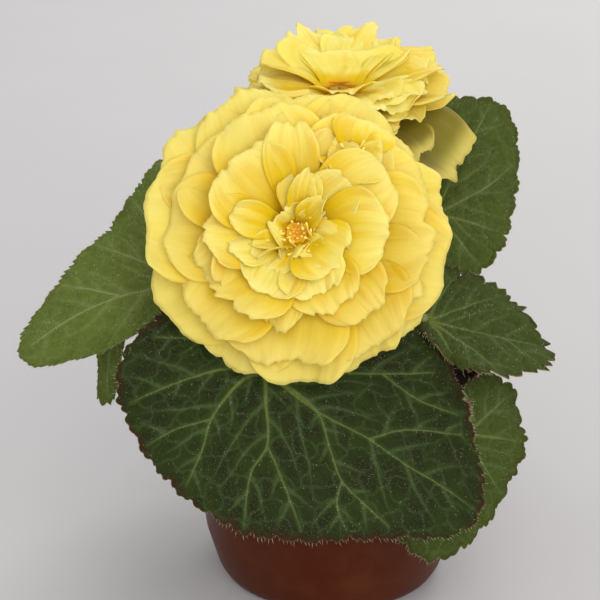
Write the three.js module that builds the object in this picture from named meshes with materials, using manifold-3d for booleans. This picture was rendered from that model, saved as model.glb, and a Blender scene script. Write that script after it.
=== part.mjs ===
// A potted tuberous begonia: a nursery pot filled with soil, the brown tuber bedded at its surface,
// the forked fleshy stem that grows from the tuber's crown, its leaves, and two double blooms.
// Millimetres, +Z up, origin at the centre of the pot's underside. The front of the plant faces -Y.

import * as THREE from "three";
import { mergeVertices } from "three/addons/utils/BufferGeometryUtils.js";
import Module from "manifold-3d";

const wasm = await Module();
wasm.setup();

// ---------- driving dimensions ----------

const GAP = 0.3; // between pieces that touch
const ROUND = 36; // sides of the pot, the soil and every other turned piece

const POT_HEIGHT = 90;
const POT_RIM_RADIUS = 60.5;
const POT_WALL = 1.8;
const COLLAR_HEIGHT = 17;
const COLLAR_STEP = 1.6; // how far the collar stands out of the wall
const BELLY_RADIUS = 50.4; // where the rounded base turns into the straight wall
const BELLY_HEIGHT = 20;
const FOOT_RADIUS = 41.5;
const FOOT_WIDTH = 3;
const CENTRE_FOOT_RADIUS = 12;
const BASE_LIFT = 2; // the base plate stands this far above the surface
const BASE_PLATE = 2.2;
const FOOT_GAP_WIDTH = 50;
const FOOT_GAP_HEIGHT = 1;
const DRAIN_RADIUS = 4;
const DRAIN_RING = 26;
const DRAINS = 5;

const SOIL_TOP = 80;
const SOIL_BUMP = 1.6;

const TUBER_RADIUS = 23;
const TUBER_TOP = 84;
const TUBER_DEPTH = 22;

const BLADE = 0.8; // thickness of a leaf blade
const PETAL = 0.7; // thickness of a petal
const PETAL_ACROSS = 3; // strips in a petal, from side to side
const PETAL_ALONG = 3; // and from root to tip

const TOOTH = 0.022; // depth of a marginal tooth, as a share of the distance to the junction
const STALK_START = 3; // radius of a leaf stalk at the stem
const STALK_END = 1.8; // and at the blade

// ---------- finishes ----------

function finish(color, roughness) {
  return new THREE.MeshStandardMaterial({ color, roughness, metalness: 0 });
}

const TERRACOTTA_PLASTIC = finish("#5a3222", 0.55);
const POTTING_SOIL = finish("#33261c", 1);
const TUBER_SKIN = finish("#6b4a33", 0.95);
const STEM_SKIN = finish("#7c5238", 0.6);
const LEAF_GREEN = finish("#46562c", 0.7);
const PETAL_YELLOW = finish("#eac544", 0.6);
const STAMEN_GOLD = finish("#e9c15a", 0.6);

// ---------- helpers ----------

const radians = THREE.MathUtils.degToRad;
const lerp = THREE.MathUtils.lerp;
const smooth = THREE.MathUtils.smoothstep;

// One sequence of repeatable draws between -1 and 1.
function draws(seed) {
  let state = seed;
  return () => {
    state = (Math.imul(state, 1664525) + 1013904223) >>> 0;
    return state / 2147483648 - 1;
  };
}

// A closed three.js geometry as a solid that can be joined and cut.
function solidFrom(geometry) {
  const bare = geometry.clone();
  bare.deleteAttribute("normal");
  bare.deleteAttribute("uv");
  const merged = mergeVertices(bare, 1e-4);
  return new wasm.Manifold(
    new wasm.Mesh({
      numProp: 3,
      vertProperties: merged.attributes.position.array,
      triVerts: new Uint32Array(merged.index.array),
    }),
  );
}

function geometryFrom(solid) {
  const mesh = solid.getMesh();
  const geometry = new THREE.BufferGeometry();
  geometry.setAttribute("position", new THREE.BufferAttribute(mesh.vertProperties, 3));
  geometry.setIndex(new THREE.BufferAttribute(mesh.triVerts, 1));
  geometry.computeVertexNormals();
  return geometry;
}

function geometryOf(points, triangles) {
  const geometry = new THREE.BufferGeometry().setFromPoints(points);
  geometry.setIndex(triangles);
  return geometry;
}

// Joins solids, fills any hollow that the joining sealed and drops loose scraps.
function fuse(solids) {
  const joined = solids.reduce((whole, piece) => whole.add(piece));
  const bodies = joined.decompose();
  return bodies.reduce((best, body) => (body.volume() > best.volume() ? body : best));
}

function turned(profile) {
  const points = profile.map(([radius, height]) => new THREE.Vector2(radius, height));
  const geometry = new THREE.LatheGeometry(points, ROUND);
  geometry.rotateX(Math.PI / 2);
  return geometry;
}

// A thin closed sheet: the same triangles on both faces of a middle surface, and a rim between them.
function sheet(points, triangles, rim, thickness) {
  const middle = geometryOf(points, triangles);
  middle.computeVertexNormals();
  const normals = middle.attributes.normal;
  const count = points.length;
  const shifted = [0.5, -0.5].flatMap((side) =>
    points.map((point, i) =>
      new THREE.Vector3().fromBufferAttribute(normals, i).multiplyScalar(side * thickness).add(point),
    ),
  );
  const faces = [...triangles];
  for (let i = 0; i < triangles.length; i += 3) {
    faces.push(triangles[i] + count, triangles[i + 2] + count, triangles[i + 1] + count);
  }
  rim.forEach((a, i) => {
    const b = rim[(i + 1) % rim.length];
    faces.push(a, a + count, b, b, a + count, b + count);
  });
  return geometryOf(shifted, faces);
}

// A round limb that tapers along a smooth curve. `grow` makes it thicker and longer all round.
function limb(points, startRadius, endRadius, { steps = 8, sides = 8, grow = 0 } = {}) {
  const curve = new THREE.CatmullRomCurve3(points.map((point) => new THREE.Vector3(...point)));
  const frames = curve.computeFrenetFrames(steps, false);
  const vertices = [];
  for (let i = 0; i <= steps; i += 1) {
    const centre = curve.getPointAt(i / steps);
    const radius = lerp(startRadius, endRadius, i / steps) + grow;
    if (i === 0) centre.addScaledVector(frames.tangents[i], -grow);
    if (i === steps) centre.addScaledVector(frames.tangents[i], grow);
    for (let k = 0; k < sides; k += 1) {
      const angle = (2 * Math.PI * k) / sides;
      vertices.push(
        centre
          .clone()
          .addScaledVector(frames.normals[i], radius * Math.cos(angle))
          .addScaledVector(frames.binormals[i], radius * Math.sin(angle)),
      );
    }
  }
  const faces = [];
  for (let i = 0; i < steps; i += 1) {
    for (let k = 0; k < sides; k += 1) {
      const a = i * sides + k;
      const b = i * sides + ((k + 1) % sides);
      faces.push(a, b, a + sides, b, b + sides, a + sides);
    }
  }
  const last = steps * sides;
  for (let k = 1; k < sides - 1; k += 1) {
    faces.push(0, k + 1, k);
    faces.push(last, last + k, last + k + 1);
  }
  return geometryOf(vertices, faces);
}

// ---------- pot ----------

function potSolid() {
  const wallTop = POT_HEIGHT - COLLAR_HEIGHT;
  const wallTopRadius = POT_RIM_RADIUS - COLLAR_STEP - 1.5;
  const floor = BASE_LIFT + BASE_PLATE;
  const outside = [
    [0, 0],
    [CENTRE_FOOT_RADIUS, 0],
    [CENTRE_FOOT_RADIUS + 1, BASE_LIFT],
    [FOOT_RADIUS - FOOT_WIDTH - 1, BASE_LIFT],
    [FOOT_RADIUS - FOOT_WIDTH, 0],
    [FOOT_RADIUS, 0],
    [FOOT_RADIUS + 2.4, 1.6],
    [FOOT_RADIUS + 4.4, 5],
    [BELLY_RADIUS - 2.6, 11],
    [BELLY_RADIUS, BELLY_HEIGHT],
    [wallTopRadius, wallTop],
    [wallTopRadius + COLLAR_STEP, wallTop + 0.8],
    [POT_RIM_RADIUS, POT_HEIGHT - 1],
    [POT_RIM_RADIUS - 0.8, POT_HEIGHT],
  ];
  const inside = [
    [POT_RIM_RADIUS - POT_WALL, POT_HEIGHT],
    [wallTopRadius - POT_WALL, wallTop],
    [BELLY_RADIUS - POT_WALL, BELLY_HEIGHT],
    [BELLY_RADIUS - 2.6 - POT_WALL, 11.5],
    [FOOT_RADIUS + 0.5, floor],
    [0, floor],
  ];
  let pot = solidFrom(turned([...outside, ...inside]));
  for (let i = 0; i < 3; i += 1) {
    const gap = new THREE.BoxGeometry(FOOT_GAP_WIDTH, 20, 2 * FOOT_GAP_HEIGHT);
    gap.translate(0, -FOOT_RADIUS, 0);
    gap.rotateZ((2 * Math.PI * i) / 3);
    pot = pot.subtract(solidFrom(gap));
  }
  for (let i = 0; i < DRAINS; i += 1) {
    const hole = new THREE.CylinderGeometry(DRAIN_RADIUS, DRAIN_RADIUS, 4 * BASE_PLATE, 10);
    hole.rotateX(Math.PI / 2);
    hole.translate(0, DRAIN_RING, floor);
    hole.rotateZ((2 * Math.PI * i) / DRAINS);
    pot = pot.subtract(solidFrom(hole));
  }
  return pot;
}

// ---------- tuber and soil ----------

// Half section of the tuber from its hollow crown round to its base, heights below its top.
const TUBER_SECTION = [
  [0, -5],
  [8, -4],
  [15, -1],
  [19.5, 0],
  [TUBER_RADIUS, -4.5],
  [22, -10],
  [17, -16],
  [9, -20.5],
  [0, -TUBER_DEPTH],
];

function tuberSolid(stemFoot) {
  const geometry = turned(TUBER_SECTION.map(([r, h]) => [r, TUBER_TOP + h]).reverse());
  const position = geometry.attributes.position;
  const point = new THREE.Vector3();
  for (let i = 0; i < position.count; i += 1) {
    point.fromBufferAttribute(position, i);
    const angle = Math.atan2(point.y, point.x);
    const knobs = Math.sin(5 * angle + 1) + Math.sin(9 * angle + 0.3 * point.z);
    const shrink = 1 - 0.02 * (2 + knobs);
    position.setXY(i, point.x * shrink, point.y * shrink);
  }
  return solidFrom(geometry).subtract(stemFoot);
}

function soilSolid() {
  const floor = BASE_LIFT + BASE_PLATE + GAP;
  const wall = POT_WALL + GAP;
  const wallTop = POT_HEIGHT - COLLAR_HEIGHT;
  const wallTopRadius = POT_RIM_RADIUS - COLLAR_STEP - 1.5 - wall;
  const edgeRadius = wallTopRadius + ((SOIL_TOP - wallTop) * 3) / COLLAR_HEIGHT;
  const pocket = TUBER_SECTION.slice(4).map(([r, h]) => [r && r + GAP, TUBER_TOP + h - GAP]);
  const profile = [
    [0, floor],
    [FOOT_RADIUS - 0.5, floor],
    [BELLY_RADIUS - 3 - wall, 11.5],
    [BELLY_RADIUS - wall - 0.2, BELLY_HEIGHT],
    [wallTopRadius, wallTop],
    [edgeRadius, SOIL_TOP],
    [49, SOIL_TOP],
    [42, SOIL_TOP],
    [35, SOIL_TOP],
    [28, SOIL_TOP],
    ...pocket,
  ];
  const geometry = turned(profile);
  const position = geometry.attributes.position;
  for (let i = 0; i < position.count; i += 1) {
    const x = position.getX(i);
    const y = position.getY(i);
    const radius = Math.hypot(x, y);
    const onTop = position.getZ(i) > SOIL_TOP - 0.01 && radius > TUBER_RADIUS + 2;
    const bump = Math.sin(0.31 * x + 0.12 * y) + Math.sin(0.27 * y - 0.19 * x + 2);
    if (onTop) position.setZ(i, SOIL_TOP + (SOIL_BUMP / 2) * bump);
  }
  return solidFrom(geometry);
}

// ---------- stem ----------

const STEM_LIMBS = [
  // the trunk, from the socket in the tuber's crown
  { points: [[0, 0, 76.3], [1, -1, 95], [0, 0, 112], [0, -1, 126]], start: 6.2, end: 4.6 },
  // stalk of the front bloom
  { points: [[0, -1, 121], [-3, -9, 135], [-9, -24, 148], [-13, -41, 154.9]], start: 4, end: 2.6 },
  // stalk of the rear bloom
  { points: [[0, 0, 121], [1, 5, 140], [3, 13, 160], [4, 21.5, 183]], start: 4, end: 2.5 },
];

function stemSolid(grow) {
  return fuse(
    STEM_LIMBS.map(({ points, start, end }) => solidFrom(limb(points, start, end, { sides: 10, grow }))),
  );
}

// ---------- leaves ----------

// Each blade is drawn in its own frame: x runs from the junction with the stalk to the tip, y to the
// left, z out of the upper face. `heading`, `fall` and `roll` turn that frame, in degrees. `spread`
// holds the distance from the junction to the margin at every 30 degrees, from the tip to the left.
// `curl` and `arch` bend the blade down along x and y, and `fold` lifts both halves off the midrib.
const LEAVES = {
  leaf_front: {
    junction: [-25, -56.8, 108.6],
    heading: -20.6,
    fall: 26.7,
    roll: 39.6,
    spread: [86, 74, 56, 26, 25, 36, 42.5, 53, 53, 54.5, 60, 68.5],
    point: 8,
    curl: 0.0022,
    arch: 0.003,
    fold: 0,
    teeth: 40,
    stalk: [[0, -2, 97], [-8, -20, 104], [-18, -41, 108]],
  },
  leaf_left: {
    junction: [-52.1, -18.9, 132.1],
    heading: -147.2,
    fall: 10.9,
    roll: -45.5,
    spread: [61, 18, 20, 18, 22, 22, 20, 28, 62, 45, 38, 48],
    point: 12,
    curl: 0.005,
    arch: 0.006,
    fold: -0.12,
    teeth: 32,
    stalk: [[0, 0, 111], [-20, -3, 125], [-42, -12, 132]],
  },
  leaf_left_small: {
    junction: [-81.1, -13.1, 111],
    heading: -115,
    fall: 60,
    roll: 4,
    spread: [27, 8, 7, 8, 7, 5, 3, 5, 8, 12, 12, 17],
    point: 5,
    curl: 0.004,
    arch: 0,
    fold: 0.4,
    teeth: 16,
    stalk: [[0, 1, 103], [-30, 4, 122], [-60, -6, 120]],
  },
  leaf_right_upper: {
    junction: [40.7, 16, 144.8],
    heading: 39,
    fall: -46.8,
    roll: 30.7,
    spread: [52, 52, 46, 40, 30, 18, 14, 18, 28, 30, 30.5, 37.5],
    point: 2,
    curl: 0.004,
    arch: 0.004,
    fold: 0,
    teeth: 32,
    stalk: [[0, 0, 117], [14, 8, 132], [31, 15, 142]],
  },
  leaf_right: {
    junction: [36.3, -31.7, 118.8],
    heading: -21,
    fall: 5.4,
    roll: 25.8,
    spread: [44, 36.5, 31, 31, 26, 16, 8, 6, 6, 7, 14, 34],
    point: 5,
    curl: 0.006,
    arch: 0.004,
    fold: 0,
    teeth: 28,
    stalk: [[0, 0, 107], [12, -10, 117], [27, -25, 120]],
  },
  leaf_right_lower: {
    junction: [50.4, -45.1, 77.8],
    heading: -113,
    fall: 50,
    roll: -38,
    spread: [47, 34, 25, 25, 24.3, 27.5, 24, 11, 6, 12, 24, 44],
    point: 2,
    curl: 0.004,
    arch: 0.004,
    fold: 0,
    teeth: 28,
    stalk: [[1, -1, 93], [20, -17, 98], [45, -40.5, 95.5], [50.5, -45.5, 89.5]],
  },
  leaf_back_left: {
    junction: [-30, 44, 112],
    heading: 120,
    fall: 32,
    roll: 8,
    spread: [58, 52, 46, 42, 36, 26, 14, 24, 34, 40, 44, 50],
    point: 6,
    curl: 0.006,
    arch: 0.004,
    fold: 0,
    teeth: 32,
    stalk: [[0, 1, 99], [-11, 18, 108], [-24, 36, 112]],
  },
  leaf_back_right: {
    junction: [30, 46, 106],
    heading: 66,
    fall: 30,
    roll: -8,
    spread: [52, 46, 40, 38, 34, 24, 13, 25, 35, 40, 42, 46],
    point: 6,
    curl: 0.006,
    arch: 0.004,
    fold: 0,
    teeth: 32,
    stalk: [[1, 1, 95], [11, 19, 104], [24, 38, 107]],
  },
};

// Distance from the junction to the smooth margin at an angle in radians.
function margin(leaf, angle) {
  const step = (2 * Math.PI) / leaf.spread.length;
  const place = (((angle / step) % leaf.spread.length) + leaf.spread.length) % leaf.spread.length;
  const i = Math.floor(place);
  const at = (k) => leaf.spread[(k + leaf.spread.length) % leaf.spread.length];
  const t = place - i;
  const [a, b, c, d] = [at(i - 1), at(i), at(i + 1), at(i + 2)];
  const curve =
    b + 0.5 * t * (c - a + t * (2 * a - 5 * b + 4 * c - d + t * (3 * (b - c) + d - a)));
  const fromTip = Math.atan2(Math.sin(angle), Math.cos(angle)) / radians(11);
  return curve + leaf.point * Math.exp(-fromTip * fromTip);
}

// A point of the middle surface: `share` runs from 0 at the junction to 1 at the margin.
function bladePoint(leaf, angle, share, stretch) {
  const reach = margin(leaf, angle) * share * stretch;
  const x = reach * Math.cos(angle);
  const y = reach * Math.sin(angle);
  const wave = 0.02 * reach * share * Math.sin(5 * angle + leaf.heading);
  const lift = leaf.fold * (Math.hypot(y, 3) - 3) + wave;
  const dropX = (1 - Math.cos(leaf.curl * x)) / leaf.curl;
  const dropY = leaf.arch ? (1 - Math.cos(leaf.arch * y)) / leaf.arch : 0;
  const bentY = leaf.arch ? Math.sin(leaf.arch * y) / leaf.arch : y;
  return new THREE.Vector3(Math.sin(leaf.curl * x) / leaf.curl, bentY, lift - dropX - dropY);
}

function bladeGeometry(leaf) {
  const rings = [
    { count: leaf.teeth / 2, share: 0.36 },
    { count: leaf.teeth, share: 0.72 },
    { count: 2 * leaf.teeth, share: 1 },
  ];
  const points = [bladePoint(leaf, 0, 0, 1)];
  const triangles = [];
  let inner = null;
  for (const { count, share } of rings) {
    const first = points.length;
    for (let i = 0; i < count; i += 1) {
      const onMargin = share === 1;
      const stretch = onMargin ? 1 + TOOTH * (i % 2 ? 1 : -1) : 1;
      points.push(bladePoint(leaf, (2 * Math.PI * i) / count, share, stretch));
    }
    for (let i = 0; i < count; i += 1) {
      const next = first + ((i + 1) % count);
      if (!inner) {
        triangles.push(0, first + i, next);
      } else {
        const low = inner.first + Math.floor(i / 2);
        const high = inner.first + ((Math.floor(i / 2) + 1) % inner.count);
        if (i % 2) triangles.push(low, first + i, high, high, first + i, next);
        else triangles.push(low, first + i, next);
      }
    }
    inner = { first, count };
  }
  const rim = Array.from({ length: inner.count }, (_, i) => inner.first + i);
  return sheet(points, triangles, rim, BLADE);
}

function leafFrame(leaf) {
  const turn = new THREE.Euler(radians(leaf.roll), radians(leaf.fall), radians(leaf.heading), "ZYX");
  return new THREE.Matrix4().makeRotationFromEuler(turn).setPosition(...leaf.junction);
}

function leafSolid(leaf, stemClearance) {
  const blade = bladeGeometry(leaf).applyMatrix4(leafFrame(leaf));
  const stalk = limb([...leaf.stalk, leaf.junction], STALK_START, STALK_END, { sides: 6, steps: 6 });
  return fuse([fuse([solidFrom(blade), solidFrom(stalk)]).subtract(stemClearance)]);
}

// ---------- blooms ----------

// A bloom is drawn about its own axis, z, with its throat at the origin. A petal is
// [azimuth in degrees, reach from the axis, width, layer], and the layers run from the guard
// petals at the back, 1, to the petals round the throat, 6. A petal of layer 0 hangs down behind
// the guard petals. Each layer gives the height of the petal's root, the radius there, and the
// petal's angle to the axis at its root and at its tip.
const LAYERS = [
  { seat: -13, root: 6, open: 78, lay: 150 },
  { seat: -13, root: 6, open: 70, lay: 104 },
  { seat: -9, root: 6, open: 60, lay: 98 },
  { seat: -5.5, root: 5.5, open: 47, lay: 95 },
  { seat: -2.5, root: 5, open: 34, lay: 90 },
  { seat: -0.5, root: 4.5, open: 20, lay: 78 },
  { seat: 0, root: 4, open: 6, lay: 60 },
];

const FRONT_PETALS = [
  // guard petals, from the left round by the bottom
  [172, 55, 46, 1.3],
  [208, 56, 44, 1],
  [243, 54, 38, 1.1],
  [272, 54.5, 40, 1.4],
  [302, 53, 38, 1.1],
  [322, 54, 32, 1],
  [345, 55.5, 44, 1.2],
  [12, 54, 36, 1],
  [37, 50.5, 34, 1.3],
  [62, 53.5, 36, 1.1],
  [90, 50, 40, 1.4],
  [115, 55, 40, 1.1],
  [141, 56, 42, 1],
  // second round
  [177, 47, 38, 2],
  [222, 47, 38, 2.2],
  [262, 47.5, 46, 2],
  [305, 49.5, 46, 1.7],
  [336, 48, 34, 1.8],
  [0, 48, 42, 2.1],
  [25, 49, 36, 1.8],
  [54, 45, 34, 2.2],
  [82, 43, 34, 1.9],
  [108, 46, 40, 2.2],
  [143, 46, 38, 1.9],
  // third round
  [133, 34, 34, 3.5],
  [180, 32, 26, 3.7],
  [204, 37, 28, 2.9],
  [228, 34, 32, 3.3],
  [259, 35.5, 16, 3.1],
  [297, 31, 26, 3.6],
  [313, 39.5, 28, 2.9],
  [0, 32, 30, 3.8],
  [33, 38.5, 30, 3.2],
  [66, 38, 24, 2.9],
  [94, 39, 20, 3.3],
  // petals round the throat
  [165, 24, 13, 4.4],
  [212, 17, 12, 5],
  [318, 19, 25, 4.6],
  [50, 15, 10, 5.4],
  [79, 22, 12, 4.6],
];

const REAR_PETALS = [
  // petals that hang over the front bloom's back, on the right
  [-18, 46, 46, 0],
  [-50, 41, 34, 0.6],
  // guard petals, from the front round by the left
  [-92, 40, 42, 1.1],
  [-128, 40, 36, 1.4],
  [-160, 42, 34, 1.1],
  [168, 41, 36, 1.4],
  [132, 40, 40, 1.1],
  [95, 40, 38, 1.4],
  [58, 41, 38, 1.1],
  [20, 45, 36, 1.4],
  // second round
  [-78, 36, 38, 2],
  [-118, 35, 34, 2.3],
  [160, 37, 30, 2.3],
  [28, 40, 28, 2],
  [-8, 41, 28, 2.3],
  [-44, 37, 28, 2.1],
  // upright petals at the back and petals round the throat
  [94, 19, 40, 4.8],
  [124, 28, 24, 4.3],
  [62, 29, 26, 4.2],
  [34, 29, 20, 3.9],
  [170, 32, 28, 3.8],
  [10, 39, 26, 3.2],
  [-66, 27, 32, 3.3],
  [-128, 27, 32, 3.3],
  [-88, 16, 26, 4.3],
];

function layerAt(layer) {
  const i = Math.min(Math.floor(layer), LAYERS.length - 2);
  const mix = (key) => lerp(LAYERS[i][key], LAYERS[i + 1][key], layer - i);
  return { seat: mix("seat"), root: mix("root"), open: radians(mix("open")), lay: radians(mix("lay")) };
}

// A point of a petal's middle surface: u runs across from -1 to 1, v from the root, 0, to the tip, 1.
function petalPoint(petal, u, v) {
  const [azimuth, reach, width, layer] = petal.shape;
  const { seat, root, open, lay } = layerAt(layer);
  const sweep = lay - open;
  const length = ((reach - root) * sweep) / (Math.cos(open) - Math.cos(lay));
  const along = v * (1 - 0.2 * u * u * v);
  const angle = open + sweep * along;
  const radius = root + (length / sweep) * (Math.cos(open) - Math.cos(angle));
  const height = seat + (length / sweep) * (Math.sin(angle) - Math.sin(open));
  const half = (width / 2) * (0.12 + 0.88 * smooth(v, 0.15, 0.8)) * (1 - 0.3 * smooth(v, 0.72, 1.1));
  const ripple = Math.sin(petal.phase + 4 * u) * v * v + 0.7 * Math.sin(2 * petal.phase + 7 * v) * u * v;
  const lift = petal.cup * half * u * u + petal.tilt * half * u + petal.ruffle * ripple;
  const turn = radians(azimuth);
  const outward = radius - Math.cos(angle) * lift;
  const sideways = half * u;
  return new THREE.Vector3(
    outward * Math.cos(turn) - sideways * Math.sin(turn),
    outward * Math.sin(turn) + sideways * Math.cos(turn),
    height + Math.sin(angle) * lift,
  );
}

function petalGeometry(petal) {
  const points = [];
  const triangles = [];
  const row = PETAL_ACROSS + 1;
  for (let j = 0; j <= PETAL_ALONG; j += 1) {
    for (let i = 0; i <= PETAL_ACROSS; i += 1) {
      points.push(petalPoint(petal, (2 * i) / PETAL_ACROSS - 1, j / PETAL_ALONG));
    }
  }
  for (let j = 0; j < PETAL_ALONG; j += 1) {
    for (let i = 0; i < PETAL_ACROSS; i += 1) {
      const a = j * row + i;
      triangles.push(a, a + row, a + 1, a + 1, a + row, a + row + 1);
    }
  }
  const rim = [];
  for (let j = 0; j < PETAL_ALONG; j += 1) rim.push(j * row);
  for (let i = 0; i < PETAL_ACROSS; i += 1) rim.push(PETAL_ALONG * row + i);
  for (let j = PETAL_ALONG; j > 0; j -= 1) rim.push(j * row + PETAL_ACROSS);
  for (let i = PETAL_ACROSS; i > 0; i -= 1) rim.push(i);
  return sheet(points, triangles, rim, PETAL);
}

// The swollen end of the stalk that carries the petals, flat on top under the stamens.
const RECEPTACLE = [
  [0, -19],
  [4, -19],
  [8.5, -13],
  [7.5, -7],
  [6, -2],
  [4.5, 0],
  [0, 0],
];

function bloomSolid(shapes, seed) {
  const draw = draws(seed);
  const petals = shapes.map((shape) => ({
    shape,
    phase: 3 * draw(),
    tilt: 0.09 + 0.02 * draw(),
    cup: 0.06 + 0.04 * shape[3] + 0.08 * draw(),
    ruffle: 1.1 + 0.5 * draw(),
  }));
  const core = new THREE.LatheGeometry(RECEPTACLE.map(([r, h]) => new THREE.Vector2(r, h)), 12);
  core.rotateX(Math.PI / 2);
  return fuse([solidFrom(core), ...petals.map((petal) => solidFrom(petalGeometry(petal)))]);
}

const STAMEN_SEED = 12;

// A low cushion of filaments that stands on the receptacle.
function stamenSolid(seed) {
  const draw = draws(seed);
  const cushion = new THREE.CylinderGeometry(2.6, 3, 1.4, 10);
  cushion.rotateX(Math.PI / 2);
  cushion.translate(0, 0, GAP + 0.7);
  const filaments = Array.from({ length: 9 }, (_, i) => {
    const turn = radians(40 * i + 12 * draw());
    const lean = 0.18 + 0.28 * Math.abs(draw());
    const foot = new THREE.Vector3(1.7 * Math.cos(turn), 1.7 * Math.sin(turn), 1);
    const tip = new THREE.Vector3(Math.cos(turn) * lean, Math.sin(turn) * lean, 1).multiplyScalar(5.5);
    tip.add(foot);
    const middle = foot.clone().lerp(tip, 0.5);
    const points = [foot, middle, tip].map((point) => point.toArray());
    return solidFrom(limb(points, 0.45, 0.6, { steps: 2, sides: 4 }));
  });
  return fuse([solidFrom(cushion), ...filaments]);
}

const BLOOMS = {
  front: { throat: [-13.3, -55, 162], axis: [-0.02, -0.93, 0.37], petals: FRONT_PETALS, seed: 11 },
  rear: { throat: [4, 19.7, 196], axis: [0.02, -0.17, 0.985], petals: REAR_PETALS, seed: 29 },
};

// Turns a bloom's own axis to its direction, with azimuth 0 kept on the right.
function bloomFrame({ throat, axis }) {
  const z = new THREE.Vector3(...axis).normalize();
  const y = new THREE.Vector3().crossVectors(z, new THREE.Vector3(1, 0, 0)).normalize();
  const x = new THREE.Vector3().crossVectors(y, z);
  return new THREE.Matrix4().makeBasis(x, y, z).setPosition(...throat);
}

function moved(solid, matrix) {
  return solidFrom(geometryFrom(solid).applyMatrix4(matrix));
}

// ---------- the plant ----------

const begonia = new THREE.Group();

function add(name, solid, material) {
  const mesh = new THREE.Mesh(geometryFrom(solid), material);
  mesh.name = name;
  begonia.add(mesh);
}

const stemClearance = stemSolid(GAP);
add("pot", potSolid(), TERRACOTTA_PLASTIC);
add("soil", soilSolid(), POTTING_SOIL);
add("tuber", tuberSolid(stemClearance), TUBER_SKIN);
add("stem", stemSolid(0), STEM_SKIN);
for (const [name, leaf] of Object.entries(LEAVES)) {
  add(name, leafSolid(leaf, stemClearance), LEAF_GREEN);
}
for (const [name, bloom] of Object.entries(BLOOMS)) {
  const frame = bloomFrame(bloom);
  const petals = moved(bloomSolid(bloom.petals, bloom.seed), frame).subtract(stemClearance);
  add(`${name}_bloom`, fuse([petals]), PETAL_YELLOW);
}
add("front_stamens", moved(stamenSolid(STAMEN_SEED), bloomFrame(BLOOMS.front)), STAMEN_GOLD);

export default begonia;
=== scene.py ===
# %% [markdown]
# # A potted tuberous begonia
# A yellow double begonia in a plastic nursery pot. The plant grows from a brown tuber that lies
# at the soil surface, and carries broad, lopsided, toothed leaves and two blooms of layered petals.
#
# The frame holds the same plant as plain solids, which carry the sizes and the collision. Here each
# of those solids gets a finer piece that keeps its form: the formulas of the leaves and the petals
# are the same, laid out on a closer grid.

import math

import bpy
import numpy as np
from mathutils import Euler, Matrix, Vector


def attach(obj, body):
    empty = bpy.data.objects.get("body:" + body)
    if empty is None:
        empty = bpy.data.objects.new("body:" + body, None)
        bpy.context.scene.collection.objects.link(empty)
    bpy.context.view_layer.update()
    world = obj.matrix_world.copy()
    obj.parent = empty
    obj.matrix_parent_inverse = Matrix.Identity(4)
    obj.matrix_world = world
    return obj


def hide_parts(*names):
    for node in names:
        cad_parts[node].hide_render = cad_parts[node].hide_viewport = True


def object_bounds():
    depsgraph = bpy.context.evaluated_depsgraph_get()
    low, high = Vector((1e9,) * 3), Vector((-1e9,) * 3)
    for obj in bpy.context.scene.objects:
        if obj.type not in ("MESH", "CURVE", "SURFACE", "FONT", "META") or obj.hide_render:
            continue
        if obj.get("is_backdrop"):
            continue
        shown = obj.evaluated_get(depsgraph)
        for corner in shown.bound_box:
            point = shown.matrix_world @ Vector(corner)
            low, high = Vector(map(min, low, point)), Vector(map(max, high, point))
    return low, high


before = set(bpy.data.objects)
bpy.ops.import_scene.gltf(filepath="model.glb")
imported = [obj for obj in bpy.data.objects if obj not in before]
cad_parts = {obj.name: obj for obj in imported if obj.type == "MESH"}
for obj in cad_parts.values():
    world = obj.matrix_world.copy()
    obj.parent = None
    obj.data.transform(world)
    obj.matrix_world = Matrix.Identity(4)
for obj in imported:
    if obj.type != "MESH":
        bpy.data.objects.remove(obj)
solid_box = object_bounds()
print("solids:", len(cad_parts), "box in mm:", [[round(1000 * x) for x in c] for c in solid_box])

# %% [markdown]
# ## Measures and chance
# Blender works in metres, while a plant is measured in millimetres, so every length below is in
# millimetres and is scaled once, when it goes into a mesh. Irregular things need chance, but the
# same plant has to grow each time the file runs, so all chance comes from one small generator with
# a seed. It is the generator that the solids use, so a petal bends here as its solid does. What
# only the finer pieces need is drawn from a second run of it, so the first keeps its order.

# %% Measures and chance
MM = 0.001
MULTIPLIER, INCREMENT, MODULUS = 1664525, 1013904223, 2**32


def draws(seed):
    """Repeatable draws between -1 and 1."""
    state = seed

    def draw():
        nonlocal state
        state = (state * MULTIPLIER + INCREMENT) % MODULUS
        return 2 * state / MODULUS - 1

    return draw


def smooth(value, low, high):
    """Eases from 0 at low to 1 at high."""
    t = np.clip((value - low) / (high - low), 0, 1)
    return t * t * (3 - 2 * t)


draw = draws(11)
print("the first draws of seed 11:", [round(draw(), 3) for _ in range(3)])

# %% [markdown]
# ## Working with one piece at a time
# An operator acts on everything that is selected, so each step starts by selecting just the piece
# it is meant for. Most of this plant is thin skin: leaf blades and petals. A flat grid from the Add
# menu, bent by a formula and given a thickness by Solidify, makes such a skin with clean rows of
# faces that run the way the tissue grew. Sculpting would give one good petal, but not ninety.

# %% Working with one piece at a time
def pick(*pieces):
    """Selects just these pieces and makes the first one active."""
    bpy.ops.object.select_all(action="DESELECT")
    for piece in pieces:
        piece.select_set(True)
    bpy.context.view_layer.objects.active = pieces[0]


def in_edit_mode(piece, *steps):
    """Runs operators on all of a piece's geometry in edit mode."""
    pick(piece)
    bpy.ops.object.mode_set(mode="EDIT")
    bpy.ops.mesh.select_all(action="SELECT")
    for step in steps:
        step()
    bpy.ops.object.mode_set(mode="OBJECT")


def face_outwards():
    bpy.ops.mesh.normals_make_consistent(inside=False)


def merge_seam():
    bpy.ops.mesh.remove_doubles(threshold=0.001 * MM)


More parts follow.
